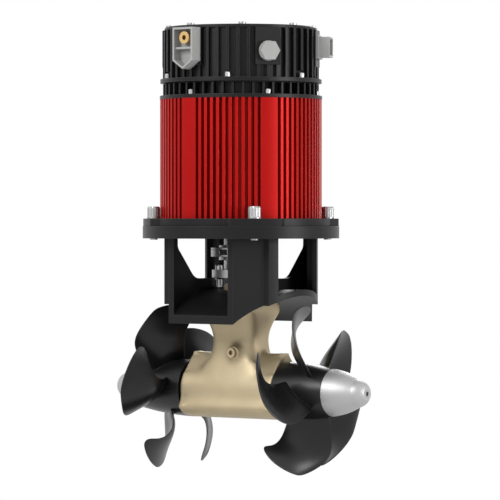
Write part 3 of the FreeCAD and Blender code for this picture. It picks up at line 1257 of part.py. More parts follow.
def make_connector():
    """Rectangular signal connector with its pins, facing out along a radius."""
    body = new_body("signal_connector")
    height, half_y, half_z = S["connector_height"], S["connector_half_width"], \
        S["connector_half_height"]

    def box(name, start, y_half, z_half, length, cut=False):
        sketch = new_sketch(body, "YZ_Plane", name, start)
        draw_outline(sketch, [(-y_half, height - z_half), (y_half, height - z_half),
                              (y_half, height + z_half), (-y_half, height + z_half)])
        if cut:
            pocket(body, name, sketch, length)
        else:
            pad(body, name, sketch, length)

    reach = S["connector_reach"]
    box("flange", S["pad_reach"], half_y + 1.4, half_z + 1.6, S["connector_flange"])
    box("shell", S["pad_reach"], half_y, half_z, reach - S["pad_reach"])
    box("mouth", reach, half_y - S["connector_wall"], half_z - S["connector_wall"],
        S["connector_depth"], cut=True)
    turn_body(body, S["motor_turn"] + 60)
    pins = new_body("connector_pins")
    floor = reach - S["connector_depth"]
    sketch = new_sketch(pins, "YZ_Plane", "pins", floor)
    columns = int(float(S["connector_columns"]))
    for column in range(columns):
        for row in (-0.5, 0.5):
            place = (S["connector_pitch"] * (column - (columns - 1) / 2),
                     height + S["connector_rows_apart"] * row)
            draw_circle(sketch, place, S["connector_pin"])
    pad(pins, "pins", sketch, S["connector_pin_length"])
    turn_body(pins, S["motor_turn"] + 60)


def make_electronics():
    """Power board on posts, with its capacitors and transistors."""
    floor = plate_top + S["sink_floor"]
    board_low = floor + S["board_lift"]
    board_top = board_low + S["board_thickness"]
    turned("circuit_board", ring(S["motor_shaft_radius"] + 8, S["board_radius"],
                                 board_low, board_top))
    cans = new_body("capacitors")
    sketch = new_sketch(cans, "XY_Plane", "can", board_top)
    draw_circle(sketch, (S["capacitor_circle"], 0), S["capacitor_radius"])
    can = pad(cans, "can", sketch, S["capacitor_height"])
    repeat_round(cans, "ring", [can], S["capacitor_count"])
    chips = new_body("power_transistors")
    sketch = new_sketch(chips, "XY_Plane", "chip", floor)
    half = S["transistor_half"]
    place = S["transistor_circle"] + 2
    draw_outline(sketch, [(place - half, -half), (place + half, -half),
                          (place + half, half), (place - half, half)])
    chip = pad(chips, "chip", sketch, S["transistor_height"])
    repeat_round(chips, "ring", [chip], S["transistor_count"])
    turn_body(chips, 7.5)


# ------------------------------------------------------------------------ fasteners


def make_fasteners():
    """Rings of screws and washers that hold the assembly together."""
    bolt_seat = leg_bolt_seat + S["washer_thickness"]
    washer_ring("gear_case_washers", 2, S["leg_bolt_place"], 0, leg_bolt_seat,
                S["leg_bolt_radius"], S["washer_radius"], S["washer_thickness"])
    depth = bolt_seat - (S["tunnel_bore_radius"] - S["leg_bolt_depth"] + 1)
    screw_ring("gear_case_bolts", 2, S["leg_bolt_place"], 0, bolt_seat, S["bolt_head_radius"],
               S["bolt_head_height"], S["leg_bolt_radius"], depth)
    seat = motor_low + S["washer_thickness"]
    washer_ring("flange_washers", 4, S["flange_bolt_circle"], S["flange_bolt_turn"], motor_low,
                S["leg_bolt_radius"], S["flange_washer_radius"], S["washer_thickness"])
    screw_ring("flange_bolts", 4, S["flange_bolt_circle"], S["flange_bolt_turn"], seat,
               S["flange_bolt_head"], S["flange_bolt_rise"] - S["washer_thickness"],
               S["leg_bolt_radius"], seat - S["bracket_flange_bottom"] + S["bolt_tip"])
    screw_ring("end_plate_screws", S["column_count"], S["plate_screw_circle"], S["motor_turn"],
               plate_top, S["small_screw_head"], S["small_screw_rise"], S["small_screw_shank"],
               S["plate_thickness"] + S["small_screw_depth"] - 0.3)
    screw_ring("cover_screws", S["column_count"], S["ring_screw_circle"], S["motor_turn"] + 30,
               cover_ring_top, S["small_screw_head"], S["small_screw_rise"],
               S["small_screw_shank"], S["cover_ring_thickness"])
    screw_ring("lid_screws", S["lid_screw_count"], S["lid_screw_circle"], S["lid_screw_turn"],
               cover_top + S["lid_thickness"], S["lid_screw_head"], S["lid_screw_rise"],
               S["small_screw_shank"], S["lid_thickness"] + S["small_screw_depth"] - 0.3)


# ------------------------------------------------------------------------- assembly


def build():
    """Make every sub-part."""
    make_gear_case()
    make_oil_plug()
    make_gears()
    make_drive_shaft()
    make_shared_shaft_parts()
    for name, side, turn in (("right", 1, S["right_blade_turn"]),
                             ("left", -1, S["left_blade_turn"])):
        make_propeller_shaft(name, side)
        make_propeller(name, side, turn)
        make_anode(name, side)
    make_bracket()
    make_coupling()
    make_motor_flange()
    make_motor_housing()
    make_motor_inside()
    make_heat_sink()
    make_drive_cover()
    make_lid_and_gasket()
    make_terminal("front", S["motor_turn"] - 60)
    make_terminal("rear", S["motor_turn"] + 120)
    make_vent_plug()
    make_connector()
    make_electronics()
    make_fasteners()


def check_document():
    """Stop if any object failed or any sub-part is not one or more valid solids."""
    document.recompute()
    for item in document.Objects:
        if "Invalid" in item.State or "Error" in item.State:
            raise RuntimeError(f"{item.Name} failed: {item.State}")
    parts = [item for item in document.Objects
             if item.TypeId in ("PartDesign::Body", "Part::Feature")
             and not item.Label.endswith("_hub_core")]
    for item in parts:
        if item.Shape.isNull() or not item.Shape.isValid() or not item.Shape.Solids:
            raise RuntimeError(f"{item.Label} has no valid solid")
    return parts


build()
for part in check_document():
    part.Shape.exportStep(os.path.join("parts", f"{part.Label}.step"))
    box = part.Shape.BoundBox
    print(f"{part.Label}: {len(part.Shape.Solids)} solid(s), {part.Shape.Volume:.0f} mm3, "
          f"x {box.XMin:.1f}..{box.XMax:.1f} y {box.YMin:.1f}..{box.YMax:.1f} "
          f"z {box.ZMin:.1f}..{box.ZMax:.1f}")
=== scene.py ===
# %% [markdown]
# # A bow thruster, dressed and lit
#
# A bow thruster pushes a boat's bow sideways. The electric motor stands inside the
# hull on a saddle, and the bronze case with its two propellers hangs in a tunnel
# below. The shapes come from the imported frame. This lesson gives each piece a finish
# that shows how it was made, builds the screws, and sets up the light and the camera.

# %% Load the frame
import json
import math

import bmesh
import bpy
import numpy as np
from mathutils import Matrix, Vector


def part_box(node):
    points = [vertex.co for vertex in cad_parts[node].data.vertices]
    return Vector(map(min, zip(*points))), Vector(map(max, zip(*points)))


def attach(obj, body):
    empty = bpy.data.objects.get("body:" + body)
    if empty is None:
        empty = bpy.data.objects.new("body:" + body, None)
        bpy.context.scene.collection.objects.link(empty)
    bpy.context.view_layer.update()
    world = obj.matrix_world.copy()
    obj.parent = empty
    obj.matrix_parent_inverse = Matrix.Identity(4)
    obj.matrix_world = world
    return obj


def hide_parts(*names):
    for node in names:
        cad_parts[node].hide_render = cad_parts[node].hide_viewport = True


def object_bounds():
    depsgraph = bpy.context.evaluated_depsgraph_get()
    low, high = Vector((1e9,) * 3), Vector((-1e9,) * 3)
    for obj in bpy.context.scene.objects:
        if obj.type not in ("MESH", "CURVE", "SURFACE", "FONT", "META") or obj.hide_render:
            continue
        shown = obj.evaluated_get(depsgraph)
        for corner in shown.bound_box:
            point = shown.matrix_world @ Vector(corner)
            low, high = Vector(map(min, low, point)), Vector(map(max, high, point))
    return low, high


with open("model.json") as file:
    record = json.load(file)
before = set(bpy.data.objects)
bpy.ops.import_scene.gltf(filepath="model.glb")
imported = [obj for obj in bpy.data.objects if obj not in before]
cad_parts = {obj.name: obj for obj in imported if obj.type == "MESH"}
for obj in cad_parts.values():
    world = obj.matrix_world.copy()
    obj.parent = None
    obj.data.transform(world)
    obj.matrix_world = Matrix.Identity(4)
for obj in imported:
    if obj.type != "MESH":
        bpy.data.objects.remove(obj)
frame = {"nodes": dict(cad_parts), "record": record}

nodes = frame["nodes"]
cad_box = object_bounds()
print("nodes:", len(nodes), "box:", [round(v, 4) for corner in cad_box for v in corner])

# %% [markdown]
# ## Small helpers for node trees
#
# Every finish below is a node tree. Writing each link by hand hides the idea, so three
# short helpers add a node with its settings, join two sockets and place a group.

# %% Node helpers


def add_node(tree, kind, **settings):
    """A node of one kind; a setting names a property of it or one of its inputs."""
    node = tree.nodes.new(kind)
    for key, value in settings.items():
        if hasattr(node, key):
            setattr(node, key, value)
        else:
            node.inputs[key.replace("_", " ")].default_value = value
    return node


def join(tree, source, out_name, target, in_name):
    """Link an output to an input by their names."""
    tree.links.new(source.outputs[out_name], target.inputs[in_name])


def new_group(name, inputs, outputs):
    """An empty shader group with float, vector or colour sockets."""
    kinds = {"value": "NodeSocketFloat", "vector": "NodeSocketVector",
             "colour": "NodeSocketColor"}
    tree = bpy.data.node_groups.new(name, "ShaderNodeTree")
    for socket, kind, default in inputs:
        made = tree.interface.new_socket(socket, in_out="INPUT", socket_type=kinds[kind])
        made.default_value = default
    for socket, kind in outputs:
        tree.interface.new_socket(socket, in_out="OUTPUT", socket_type=kinds[kind])
    return tree, tree.nodes.new("NodeGroupInput"), tree.nodes.new("NodeGroupOutput")


def place_group(tree, group, **values):
    """One use of a shader group with its own values."""
    node = tree.nodes.new("ShaderNodeGroup")
    node.node_tree = group
    for key, value in values.items():
        node.inputs[key.replace("_", " ")].default_value = value
    return node


# %% [markdown]
# ## Soft edges and painted edge highlights
#
# No real casting has a knife edge: the corner is a little round and catches light. The
# imported meshes have sharp corners. Rather than change them, a Bevel node bends the
# normal near an edge, and the angle between the bent and the true normal tells how close
# the edge is. That one idea gives both the bent normal and a mask, along which a lighter
# tone is painted as a highlight.

# %% Edge group
edge_group, edge_in, edge_out = new_group(
    "soft_edge", [("Radius", "value", 0.001)], [("Edge", "value"), ("Normal", "vector")])
bent = add_node(edge_group, "ShaderNodeBevel", samples=4)
true_normal = add_node(edge_group, "ShaderNodeNewGeometry")
facing = add_node(edge_group, "ShaderNodeVectorMath", operation="DOT_PRODUCT")
edge_range = add_node(edge_group, "ShaderNodeMapRange")
edge_range.inputs["From Min"].default_value = 0.995
edge_range.inputs["From Max"].default_value = 0.80
join(edge_group, edge_in, "Radius", bent, "Radius")
join(edge_group, bent, "Normal", edge_out, "Normal")
edge_group.links.new(bent.outputs["Normal"], facing.inputs[0])
edge_group.links.new(true_normal.outputs["Normal"], facing.inputs[1])
join(edge_group, facing, "Value", edge_range, "Value")
join(edge_group, edge_range, "Result", edge_out, "Edge")
print("edge group:", len(edge_group.nodes), "nodes")

# %% [markdown]
# ## Grain and patches
#
# A cast or moulded skin varies at two scales: fine grain that scatters light, and wide
# soft patches where the tone shifts by a few percent. One group makes both from noise
# on Object coordinates. Stretch pulls the grain along an axis, as brushing does.

# %% Skin group
skin_group, skin_in, skin_out = new_group(
    "skin", [("Grain Scale", "value", 900.0), ("Patch Scale", "value", 18.0),
             ("Stretch", "vector", (1.0, 1.0, 1.0))],
    [("Grain", "value"), ("Patch", "value")])
where = add_node(skin_group, "ShaderNodeTexCoord")
pulled = add_node(skin_group, "ShaderNodeVectorMath", operation="MULTIPLY")
fine = add_node(skin_group, "ShaderNodeTexNoise", Detail=3.0, Roughness=0.6)
wide = add_node(skin_group, "ShaderNodeTexNoise", Detail=2.0, Roughness=0.5)
skin_group.links.new(where.outputs["Object"], pulled.inputs[0])
join(skin_group, skin_in, "Stretch", pulled, 1)
skin_group.links.new(pulled.outputs["Vector"], fine.inputs["Vector"])
join(skin_group, where, "Object", wide, "Vector")
join(skin_group, skin_in, "Grain Scale", fine, "Scale")
join(skin_group, skin_in, "Patch Scale", wide, "Scale")
join(skin_group, fine, "Fac", skin_out, "Grain")
join(skin_group, wide, "Fac", skin_out, "Patch")
print("skin group:", len(skin_group.nodes), "nodes")

# %% [markdown]
# ## Lathe lines
#
# A part turned on a lathe carries fine rings about its axis. The distance along the
# axis drives a wave, and noise breaks the rings up so they don't look printed. Along
# takes the axis, so the same group serves the cones on X and the shafts on Z.

# %% Lathe group
lathe_group, lathe_in, lathe_out = new_group(
    "lathe_lines", [("Along", "vector", (1.0, 0.0, 0.0)), ("Lines", "value", 900.0)],
    [("Lines", "value")])
lathe_where = add_node(lathe_group, "ShaderNodeTexCoord")
reach = add_node(lathe_group, "ShaderNodeVectorMath", operation="DOT_PRODUCT")
pitch = add_node(lathe_group, "ShaderNodeMath", operation="MULTIPLY")
rings = add_node(lathe_group, "ShaderNodeTexNoise", noise_dimensions="1D", Scale=1.0,
                 Detail=2.0, Roughness=0.7)
lathe_group.links.new(lathe_where.outputs["Object"], reach.inputs[0])
lathe_group.links.new(lathe_in.outputs["Along"], reach.inputs[1])
lathe_group.links.new(reach.outputs["Value"], pitch.inputs[0])
lathe_group.links.new(lathe_in.outputs["Lines"], pitch.inputs[1])
join(lathe_group, pitch, "Value", rings, "W")
lathe_group.links.new(rings.outputs["Fac"], lathe_out.inputs["Lines"])
print("lathe group:", len(lathe_group.nodes), "nodes")

# %% [markdown]
# ## One recipe for a finish
#
# Paint, bronze and plastic differ in numbers more than in kind: a dark and a light
# tone, a range of roughness, the depth of the grain and how bright the edges are. The
# recipe below joins the groups to one Principled shader. Constants such as Metallic or
# Coat stay on the shader's own sockets, so that an exporter can read them.

# %% Finish recipe


def mix_tone(tree, mask, first, second):
    """A colour between two tones by a mask; a tone is a colour or a node's Result."""
    mix = add_node(tree, "ShaderNodeMix", data_type="RGBA")
    tree.links.new(mask, mix.inputs["Factor"])
    for tone, socket in ((first, mix.inputs["A"]), (second, mix.inputs["B"])):
        if isinstance(tone, tuple):
            socket.default_value = (*tone, 1.0)
        else:
            tree.links.new(tone, socket)
    return mix.outputs["Result"]


def finish(name, dark, light, rough, metallic=0.0, grain=900.0, patch=18.0, bump=0.2,
           stretch=(1, 1, 1), edge_highlight=None, edge_radius=0.0006, lathe=None, coat=0.0,
           specular=0.5):
    """A material of one finish; rough is its (smoothest, roughest) values."""
    material = bpy.data.materials.new(name)
    material.use_nodes = True
    tree = material.node_tree
    tree.nodes.clear()
    output = tree.nodes.new("ShaderNodeOutputMaterial")
    shader = add_node(tree, "ShaderNodeBsdfPrincipled", Metallic=metallic)
    shader.inputs["Coat Weight"].default_value = coat
    shader.inputs["Specular IOR Level"].default_value = specular
    join(tree, shader, "BSDF", output, "Surface")
    skin = place_group(tree, skin_group, Grain_Scale=grain, Patch_Scale=patch, Stretch=stretch)
    edge = place_group(tree, edge_group, Radius=edge_radius)
    height = skin.outputs["Grain"]
    if lathe:
        lines = place_group(tree, lathe_group, Along=lathe, Lines=grain)
        height = lines.outputs["Lines"]
    tone = mix_tone(tree, skin.outputs["Patch"], dark, light)
    # edge_highlight paints a lighter tone along the edges by the Edge mask: a painted
    # highlight.
    if edge_highlight:
        tone = mix_tone(tree, edge.outputs["Edge"], tone, edge_highlight)
    tree.links.new(tone, shader.inputs["Base Color"])
    shine = add_node(tree, "ShaderNodeMapRange")
    shine.inputs["To Min"].default_value, shine.inputs["To Max"].default_value = rough
    tree.links.new(height, shine.inputs["Value"])
    join(tree, shine, "Result", shader, "Roughness")
    relief = add_node(tree, "ShaderNodeBump", Strength=bump, Distance=0.0004)
    tree.links.new(height, relief.inputs["Height"])
    tree.links.new(edge.outputs["Normal"], relief.inputs["Normal"])
    join(tree, relief, "Normal", shader, "Normal")
    return material


# %% [markdown]
# ## Bronze of the gear case
#
# The case is cast in sand, then blasted, so its gold is pale and matt with a woven sort
# of grain. The grain is pulled a little along the height. A lighter tone is painted
# along the edges as a highlight.

# %% Bronze and the other bare metals
# Each edge_highlight below is a lighter colour painted along the edges, a painted highlight.
bronze = finish("cast_bronze", (0.40, 0.325, 0.20), (0.54, 0.45, 0.30), (0.42, 0.62),
                metallic=0.7, grain=700, patch=26, bump=0.35, stretch=(1, 1, 0.35),
                edge_highlight=(0.62, 0.52, 0.34), edge_radius=0.0012)
anode_metal = finish("turned_anode", (0.40, 0.40, 0.405), (0.50, 0.50, 0.505), (0.38, 0.55),
                     metallic=0.8, grain=2600, bump=0.22, lathe=(1, 0, 0),
                     edge_highlight=(0.75, 0.75, 0.76), edge_radius=0.0008)
bolt_steel = finish("bright_bolt_steel", (0.34, 0.34, 0.345), (0.48, 0.48, 0.49),
                    (0.24, 0.42), metallic=0.95, grain=1500, bump=0.12,
                    edge_highlight=(0.8, 0.8, 0.8), edge_radius=0.0004)
shaft_steel = finish("ground_shaft_steel", (0.36, 0.36, 0.37), (0.48, 0.48, 0.49),
                     (0.20, 0.38), metallic=1.0, grain=3000, bump=0.08, lathe=(0, 0, 1),
                     edge_highlight=(0.65, 0.65, 0.66))
coupling_alloy = finish("machined_coupling", (0.30, 0.30, 0.31), (0.42, 0.42, 0.43),
                        (0.30, 0.48), metallic=0.9, grain=2400, bump=0.10,
                        lathe=(0, 0, 1), edge_highlight=(0.6, 0.6, 0.6))
brass = finish("turned_brass", (0.60, 0.40, 0.16), (0.72, 0.50, 0.22), (0.24, 0.38),
               metallic=0.95, grain=2400, bump=0.08, edge_highlight=(0.85, 0.66, 0.36))
copper = finish("varnished_copper", (0.45, 0.17, 0.08), (0.58, 0.25, 0.12), (0.25, 0.4),
                metallic=0.9, grain=1800, bump=0.25, stretch=(1, 1, 0.1), coat=0.3)
core_iron = finish("stacked_core_sheets", (0.16, 0.16, 0.17), (0.26, 0.26, 0.27),
                   (0.4, 0.6), metallic=0.9, grain=3600, bump=0.25, lathe=(0, 0, 1))
magnet = finish("plated_magnet", (0.30, 0.30, 0.32), (0.38, 0.38, 0.40), (0.25, 0.4),
                metallic=0.9, grain=1200, bump=0.1, edge_highlight=(0.55, 0.55, 0.56))
print("bare metals made")

# %% [markdown]
# ## Paint, anodising, plastics and rubber
#
# The saddle and the drive unit wear a black paint with a fine orange-peel skin. The
# barrel of the motor is red, satin, and drawn along its length, so its grain is long.
# The propellers are moulded in a black composite that is smoother than the paint.

# %% Coatings and polymers
# Each edge_highlight below is a lighter colour painted along the edges, a painted highlight.
black_paint = finish("black_paint", (0.006, 0.006, 0.0065), (0.010, 0.010, 0.0105),
                     (0.32, 0.46), grain=1500, patch=20, bump=0.16, specular=0.2,
                     edge_highlight=(0.05, 0.05, 0.052), edge_radius=0.0010)
red_anodised = finish("red_barrel", (0.34, 0.0035, 0.003), (0.47, 0.007, 0.005),
                      (0.30, 0.42), metallic=0.3, specular=0.1, grain=900, patch=12, bump=0.06,
                      stretch=(1, 1, 0.03), edge_highlight=(0.78, 0.06, 0.04),
                      edge_radius=0.0005)
black_composite = finish("black_composite", (0.006, 0.006, 0.0065), (0.010, 0.010, 0.0105),
                         (0.26, 0.38), specular=0.32, grain=1100, patch=14, bump=0.08,
                         edge_highlight=(0.03, 0.03, 0.032), edge_radius=0.0008)
grey_plastic = finish("grey_plastic", (0.33, 0.33, 0.325), (0.41, 0.41, 0.40),
                      (0.40, 0.55), grain=1800, bump=0.12, edge_highlight=(0.50, 0.50, 0.51),
                      edge_radius=0.0008)
rubber = finish("matt_rubber", (0.015, 0.015, 0.015), (0.025, 0.025, 0.025), (0.7, 0.85),
                grain=1600, bump=0.3)
board_green = finish("lacquered_board", (0.01, 0.10, 0.04), (0.02, 0.16, 0.06),
                     (0.2, 0.35), grain=500, bump=0.1, coat=0.4)
capacitor_sleeve = finish("shrunk_sleeve", (0.01, 0.012, 0.03), (0.02, 0.025, 0.05),
                          (0.22, 0.35), grain=700, bump=0.1, coat=0.3)
transistor_black = finish("moulded_transistor", (0.012, 0.012, 0.012), (0.02, 0.02, 0.02),
                          (0.5, 0.65), grain=2000, bump=0.2)
print("coatings and polymers made")

# %% [markdown]
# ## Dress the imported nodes
#
# The record names a material slot for each node. A table from slot to finish dresses
# every node in one short loop, and a node with no finish would stop the lesson here.

# %% Put the finishes on the nodes
slot_finish = {
    "bronze": bronze, "black_composite": black_composite, "black_paint": black_paint,
    "red_anodised": red_anodised, "steel": shaft_steel, "bolt_steel": bolt_steel,
    "anode_metal": anode_metal, "coupling_metal": coupling_alloy, "rubber": rubber,
    "grey_plastic": grey_plastic, "brass": brass, "copper": copper,
    "core_iron": core_iron, "magnet": magnet, "board_green": board_green,
    "capacitor_sleeve": capacitor_sleeve, "transistor_black": transistor_black,
}
node_slot = {part["node"]: part["material_slot"] for part in frame["record"]["subparts"]}
for name, node in nodes.items():
    for dressed in node.material_slots:
        dressed.material = slot_finish[node_slot[name]]
print("dressed nodes:", len(nodes))

# %% [markdown]
# ## Melt the leg into the barrel
#
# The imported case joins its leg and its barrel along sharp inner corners. In a casting
# these flow into each other, because molten bronze fills a radius and never a corner. A
# voxel remesh turns the case into an even skin, and the skin is then relaxed: each
# corner moves towards the mean of its neighbours. A weight keeps the ends, the foot and
# the bores where they are. Webs laid into the deepest corners first give it metal to
# flow over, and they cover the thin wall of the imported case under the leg.

# %% Relaxed case


def fade(values, low, high):
    """0 below low, 1 above high and a straight ramp between them."""
    return np.clip((values - low) / (high - low), 0.0, 1.0)


def relax(mesh, weight_of, rounds):
    """Move corners towards the mean of their neighbours, as far as a weight allows."""
    count = len(mesh.vertices)
    spots = np.empty(count * 3)
    mesh.vertices.foreach_get("co", spots)
    spots = spots.reshape(-1, 3)
    ends = np.empty(len(mesh.edges) * 2, dtype=np.int64)
    mesh.edges.foreach_get("vertices", ends)
    first, second = ends.reshape(-1, 2).T
    near, far = np.concatenate([first, second]), np.concatenate([second, first])
    share = 1.0 / np.bincount(near, minlength=count)
    weight = weight_of(spots)[:, None]
    for _ in range(rounds):
        mean = np.stack([np.bincount(near, spots[far, axis], count) * share
                         for axis in range(3)], axis=1)
        spots += 0.5 * weight * (mean - spots)
    mesh.vertices.foreach_set("co", spots.ravel())


def outside(spots):
    """1 on the outer skin of the case and 0 in the bores along X and Z."""
    x, y, z = spots.T
    shaft_bore = fade(np.hypot(y, z), 0.0255, 0.0265)
    leg_bore = np.maximum(fade(np.hypot(x, y), 0.0170, 0.0180), 1.0 - fade(z, 0.020, 0.024))
    return shaft_bore * leg_bore


def joint_zone(spots):
    """1 where the leg meets the barrel, fading out towards the ends and the foot."""
    x, _, z = spots.T
    height = fade(z, -0.028, -0.016) * (1.0 - fade(z, 0.048, 0.064))
    return outside(spots) * height * (1.0 - fade(np.abs(x), 0.046, 0.053))


def grown_from(node, name):
    """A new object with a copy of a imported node's mesh."""
    made = bpy.data.objects.new(name, nodes[node].data.copy())
    bpy.context.scene.collection.objects.link(made)
    return made


def add_web(mesh, half_length, outline, end_length, end_outline):
    """Add a web under the skin on both sides: a hull of a middle and an end outline."""
    shell = bmesh.new()
    shell.from_mesh(mesh)
    for side in (1, -1):
        corners = [shell.verts.new((x * end, side * y, z))
                   for x, shape in ((half_length, outline), (end_length, end_outline))
                   for end in (1, -1) for y, z in shape]
        bmesh.ops.convex_hull(shell, input=corners)
    shell.to_mesh(mesh)
    shell.free()


arm_web = [(0.0222, 0.0170), (0.0092, 0.0335), (0.0070, 0.0300), (0.0212, 0.0145)]
leg_web = [(0.0208, 0.0370), (0.0245, 0.0210), (0.0275, 0.0080), (0.0228, 0.0060),
           (0.0168, 0.0220), (0.0168, 0.0370)]
leg_web_end = [(0.0172, 0.0300), (0.0205, 0.0210), (0.0240, 0.0140), (0.0225, 0.0120)]
skin_step = 0.0011
even_rounds, joint_rounds = 4, 75
case = grown_from("gear_case", "blended_case")
add_web(case.data, 0.050, arm_web, 0.0575, arm_web)
add_web(case.data, 0.020, leg_web, 0.036, leg_web_end)
remesh = case.modifiers.new("even_skin", "REMESH")
remesh.mode, remesh.voxel_size = "VOXEL", skin_step
bpy.context.view_layer.update()
even = case.evaluated_get(bpy.context.evaluated_depsgraph_get())
case_mesh = bpy.data.meshes.new_from_object(even)
case.modifiers.clear()
case.data = case_mesh
relax(case_mesh, outside, even_rounds)
relax(case_mesh, joint_zone, joint_rounds)
case_mesh.shade_smooth()
case_mesh.materials.clear()
case_mesh.materials.append(bronze)
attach(case, "housing")
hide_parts("gear_case")
print("blended case:", len(case_mesh.polygons), "faces")

# %% [markdown]
# ## Set the left propeller's phase
#
# A propeller may stop anywhere in its turn. The left one stops with a blade in front of
# its anode, a quarter of a blade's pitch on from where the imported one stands. Its mesh
# is turned about the shaft, so the hub stays where it was.

# %% Left propeller
left_turn = -18.0
left = grown_from("left_propeller", "left_propeller_at_rest")
left.data.transform(Matrix.Rotation(math.radians(left_turn), 4, "X"))
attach(left, "left_propeller_unit")
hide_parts("left_propeller")
print("left propeller turned by", left_turn, "degrees")

# %% [markdown]
# ## Socket screws in rings
#
# Five rings of socket screws hold the thruster together. Each screw is the same thing
# in another size, so one Geometry Nodes tree makes a ring of them: a knurled head with
# a chamfered rim, a hexagon socket sunk in it and a shank, copied round a circle. The
# sizes are the tree's inputs, and the tree ends in plain mesh.

# %% Screw tree
screw_tree = bpy.data.node_groups.new("socket_screw_ring", "GeometryNodeTree")
for socket, kind, default in [
        ("Count", "NodeSocketInt", 6), ("Circle", "NodeSocketFloat", 0.08),
        ("Turn", "NodeSocketFloat", 0.0), ("Seat", "NodeSocketFloat", 0.3),
        ("Head", "NodeSocketFloat", 0.003), ("Rise", "NodeSocketFloat", 0.004),
        ("Knurl", "NodeSocketFloat", 0.05), ("Shank", "NodeSocketFloat", 0.002),
        ("Depth", "NodeSocketFloat", 0.003), ("Metal", "NodeSocketMaterial", None)]:
    made = screw_tree.interface.new_socket(socket, in_out="INPUT", socket_type=kind)
    if default is not None:
        made.default_value = default
screw_tree.interface.new_socket("Mesh", in_out="OUTPUT", socket_type="NodeSocketGeometry")
sizes = screw_tree.nodes.new("NodeGroupInput")
screws_out = screw_tree.nodes.new("NodeGroupOutput")


def calc(operation, first, second):
    """A math node of the screw tree on two numbers or outputs."""
    node = add_node(screw_tree, "ShaderNodeMath", operation=operation)
    for value, socket in zip((first, second), node.inputs):
        if isinstance(value, (int, float)):
            socket.default_value = value
        else:
            screw_tree.links.new(value, socket)
    return node.outputs["Value"]


def lifted(mesh, height):
    """The mesh moved up by a height that is an output."""
    offset = add_node(screw_tree, "ShaderNodeCombineXYZ")
    screw_tree.links.new(height, offset.inputs["Z"])
    moved = add_node(screw_tree, "GeometryNodeTransform")
    screw_tree.links.new(mesh, moved.inputs["Geometry"])
    screw_tree.links.new(offset.outputs["Vector"], moved.inputs["Translation"])
    return moved.outputs["Geometry"]


def prism(sides, radius, depth, low, rows=1):
    """A closed upright prism between low and low plus depth."""
    made = add_node(screw_tree, "GeometryNodeMeshCylinder", Vertices=sides)
    made.inputs["Side Segments"].default_value = rows
    screw_tree.links.new(radius, made.inputs["Radius"])
    screw_tree.links.new(depth, made.inputs["Depth"])
    return lifted(made.outputs["Mesh"], calc("ADD", low, calc("MULTIPLY", depth, 0.5)))


socket_width, socket_floor = 0.56, 0.45     # of the head's radius and of its rise
shank_overlap = 0.2                         # of the rise, so shank and head join
head, rise, seat = sizes.outputs["Head"], sizes.outputs["Rise"], sizes.outputs["Seat"]
below = sizes.outputs["Depth"]
blank = prism(36, head, rise, 0.0, rows=2)
socket_tool = prism(6, calc("MULTIPLY", head, socket_width), rise,
                    calc("MULTIPLY", rise, socket_floor))
shank = prism(16, sizes.outputs["Shank"],
              calc("ADD", below, calc("MULTIPLY", rise, shank_overlap)),
              calc("MULTIPLY", below, -1.0))
print("screw tree started:", len(screw_tree.nodes), "nodes")

# %% [markdown]
# The blank has three rows of corners. The middle row moves up to where the chamfer
# starts and the top row moves in, which makes the chamfer. Every second corner of the
# wall then moves in by a small share of the head, as a knurl does. A boolean sinks the
# hexagon, because a real socket is cut too.

# %% Chamfer, knurl and socket
chamfer_in, chamfer_lift = 0.14, 0.36       # of the head's radius and of its rise
index = add_node(screw_tree, "GeometryNodeInputIndex")
corner = add_node(screw_tree, "GeometryNodeInputPosition")
axes = add_node(screw_tree, "ShaderNodeSeparateXYZ")
screw_tree.links.new(corner.outputs["Position"], axes.inputs["Vector"])
level = calc("DIVIDE", axes.outputs["Z"], rise)
is_top = calc("GREATER_THAN", level, 0.75)
is_middle = calc("SUBTRACT", calc("GREATER_THAN", level, 0.25), is_top)
knurl = calc("MULTIPLY", calc("MODULO", index.outputs["Index"], 2.0), sizes.outputs["Knurl"])
wall_shrink = calc("MULTIPLY", calc("SUBTRACT", 1.0, is_top), knurl)
shrink = calc("ADD", calc("MULTIPLY", is_top, chamfer_in), wall_shrink)
inward = calc("MULTIPLY", shrink, -1.0)
shift = add_node(screw_tree, "ShaderNodeCombineXYZ")
screw_tree.links.new(calc("MULTIPLY", axes.outputs["X"], inward), shift.inputs["X"])
screw_tree.links.new(calc("MULTIPLY", axes.outputs["Y"], inward), shift.inputs["Y"])
screw_tree.links.new(calc("MULTIPLY", is_middle, calc("MULTIPLY", rise, chamfer_lift)),
                     shift.inputs["Z"])
shaped = add_node(screw_tree, "GeometryNodeSetPosition")
screw_tree.links.new(blank, shaped.inputs["Geometry"])
screw_tree.links.new(shift.outputs["Vector"], shaped.inputs["Offset"])
cut = add_node(screw_tree, "GeometryNodeMeshBoolean", operation="DIFFERENCE", solver="EXACT")
screw_tree.links.new(shaped.outputs["Geometry"], cut.inputs["Mesh 1"])
screw_tree.links.new(socket_tool, cut.inputs["Mesh 2"])
screw = add_node(screw_tree, "GeometryNodeJoinGeometry")
screw_tree.links.new(shank, screw.inputs["Geometry"])
screw_tree.links.new(cut.outputs["Mesh"], screw.inputs["Geometry"])
print("one screw:", len(screw_tree.nodes), "nodes")

# %% [markdown]
# The finished screw is copied to the points of a circle, made real, turned and lifted
# to its seat, and given its metal.

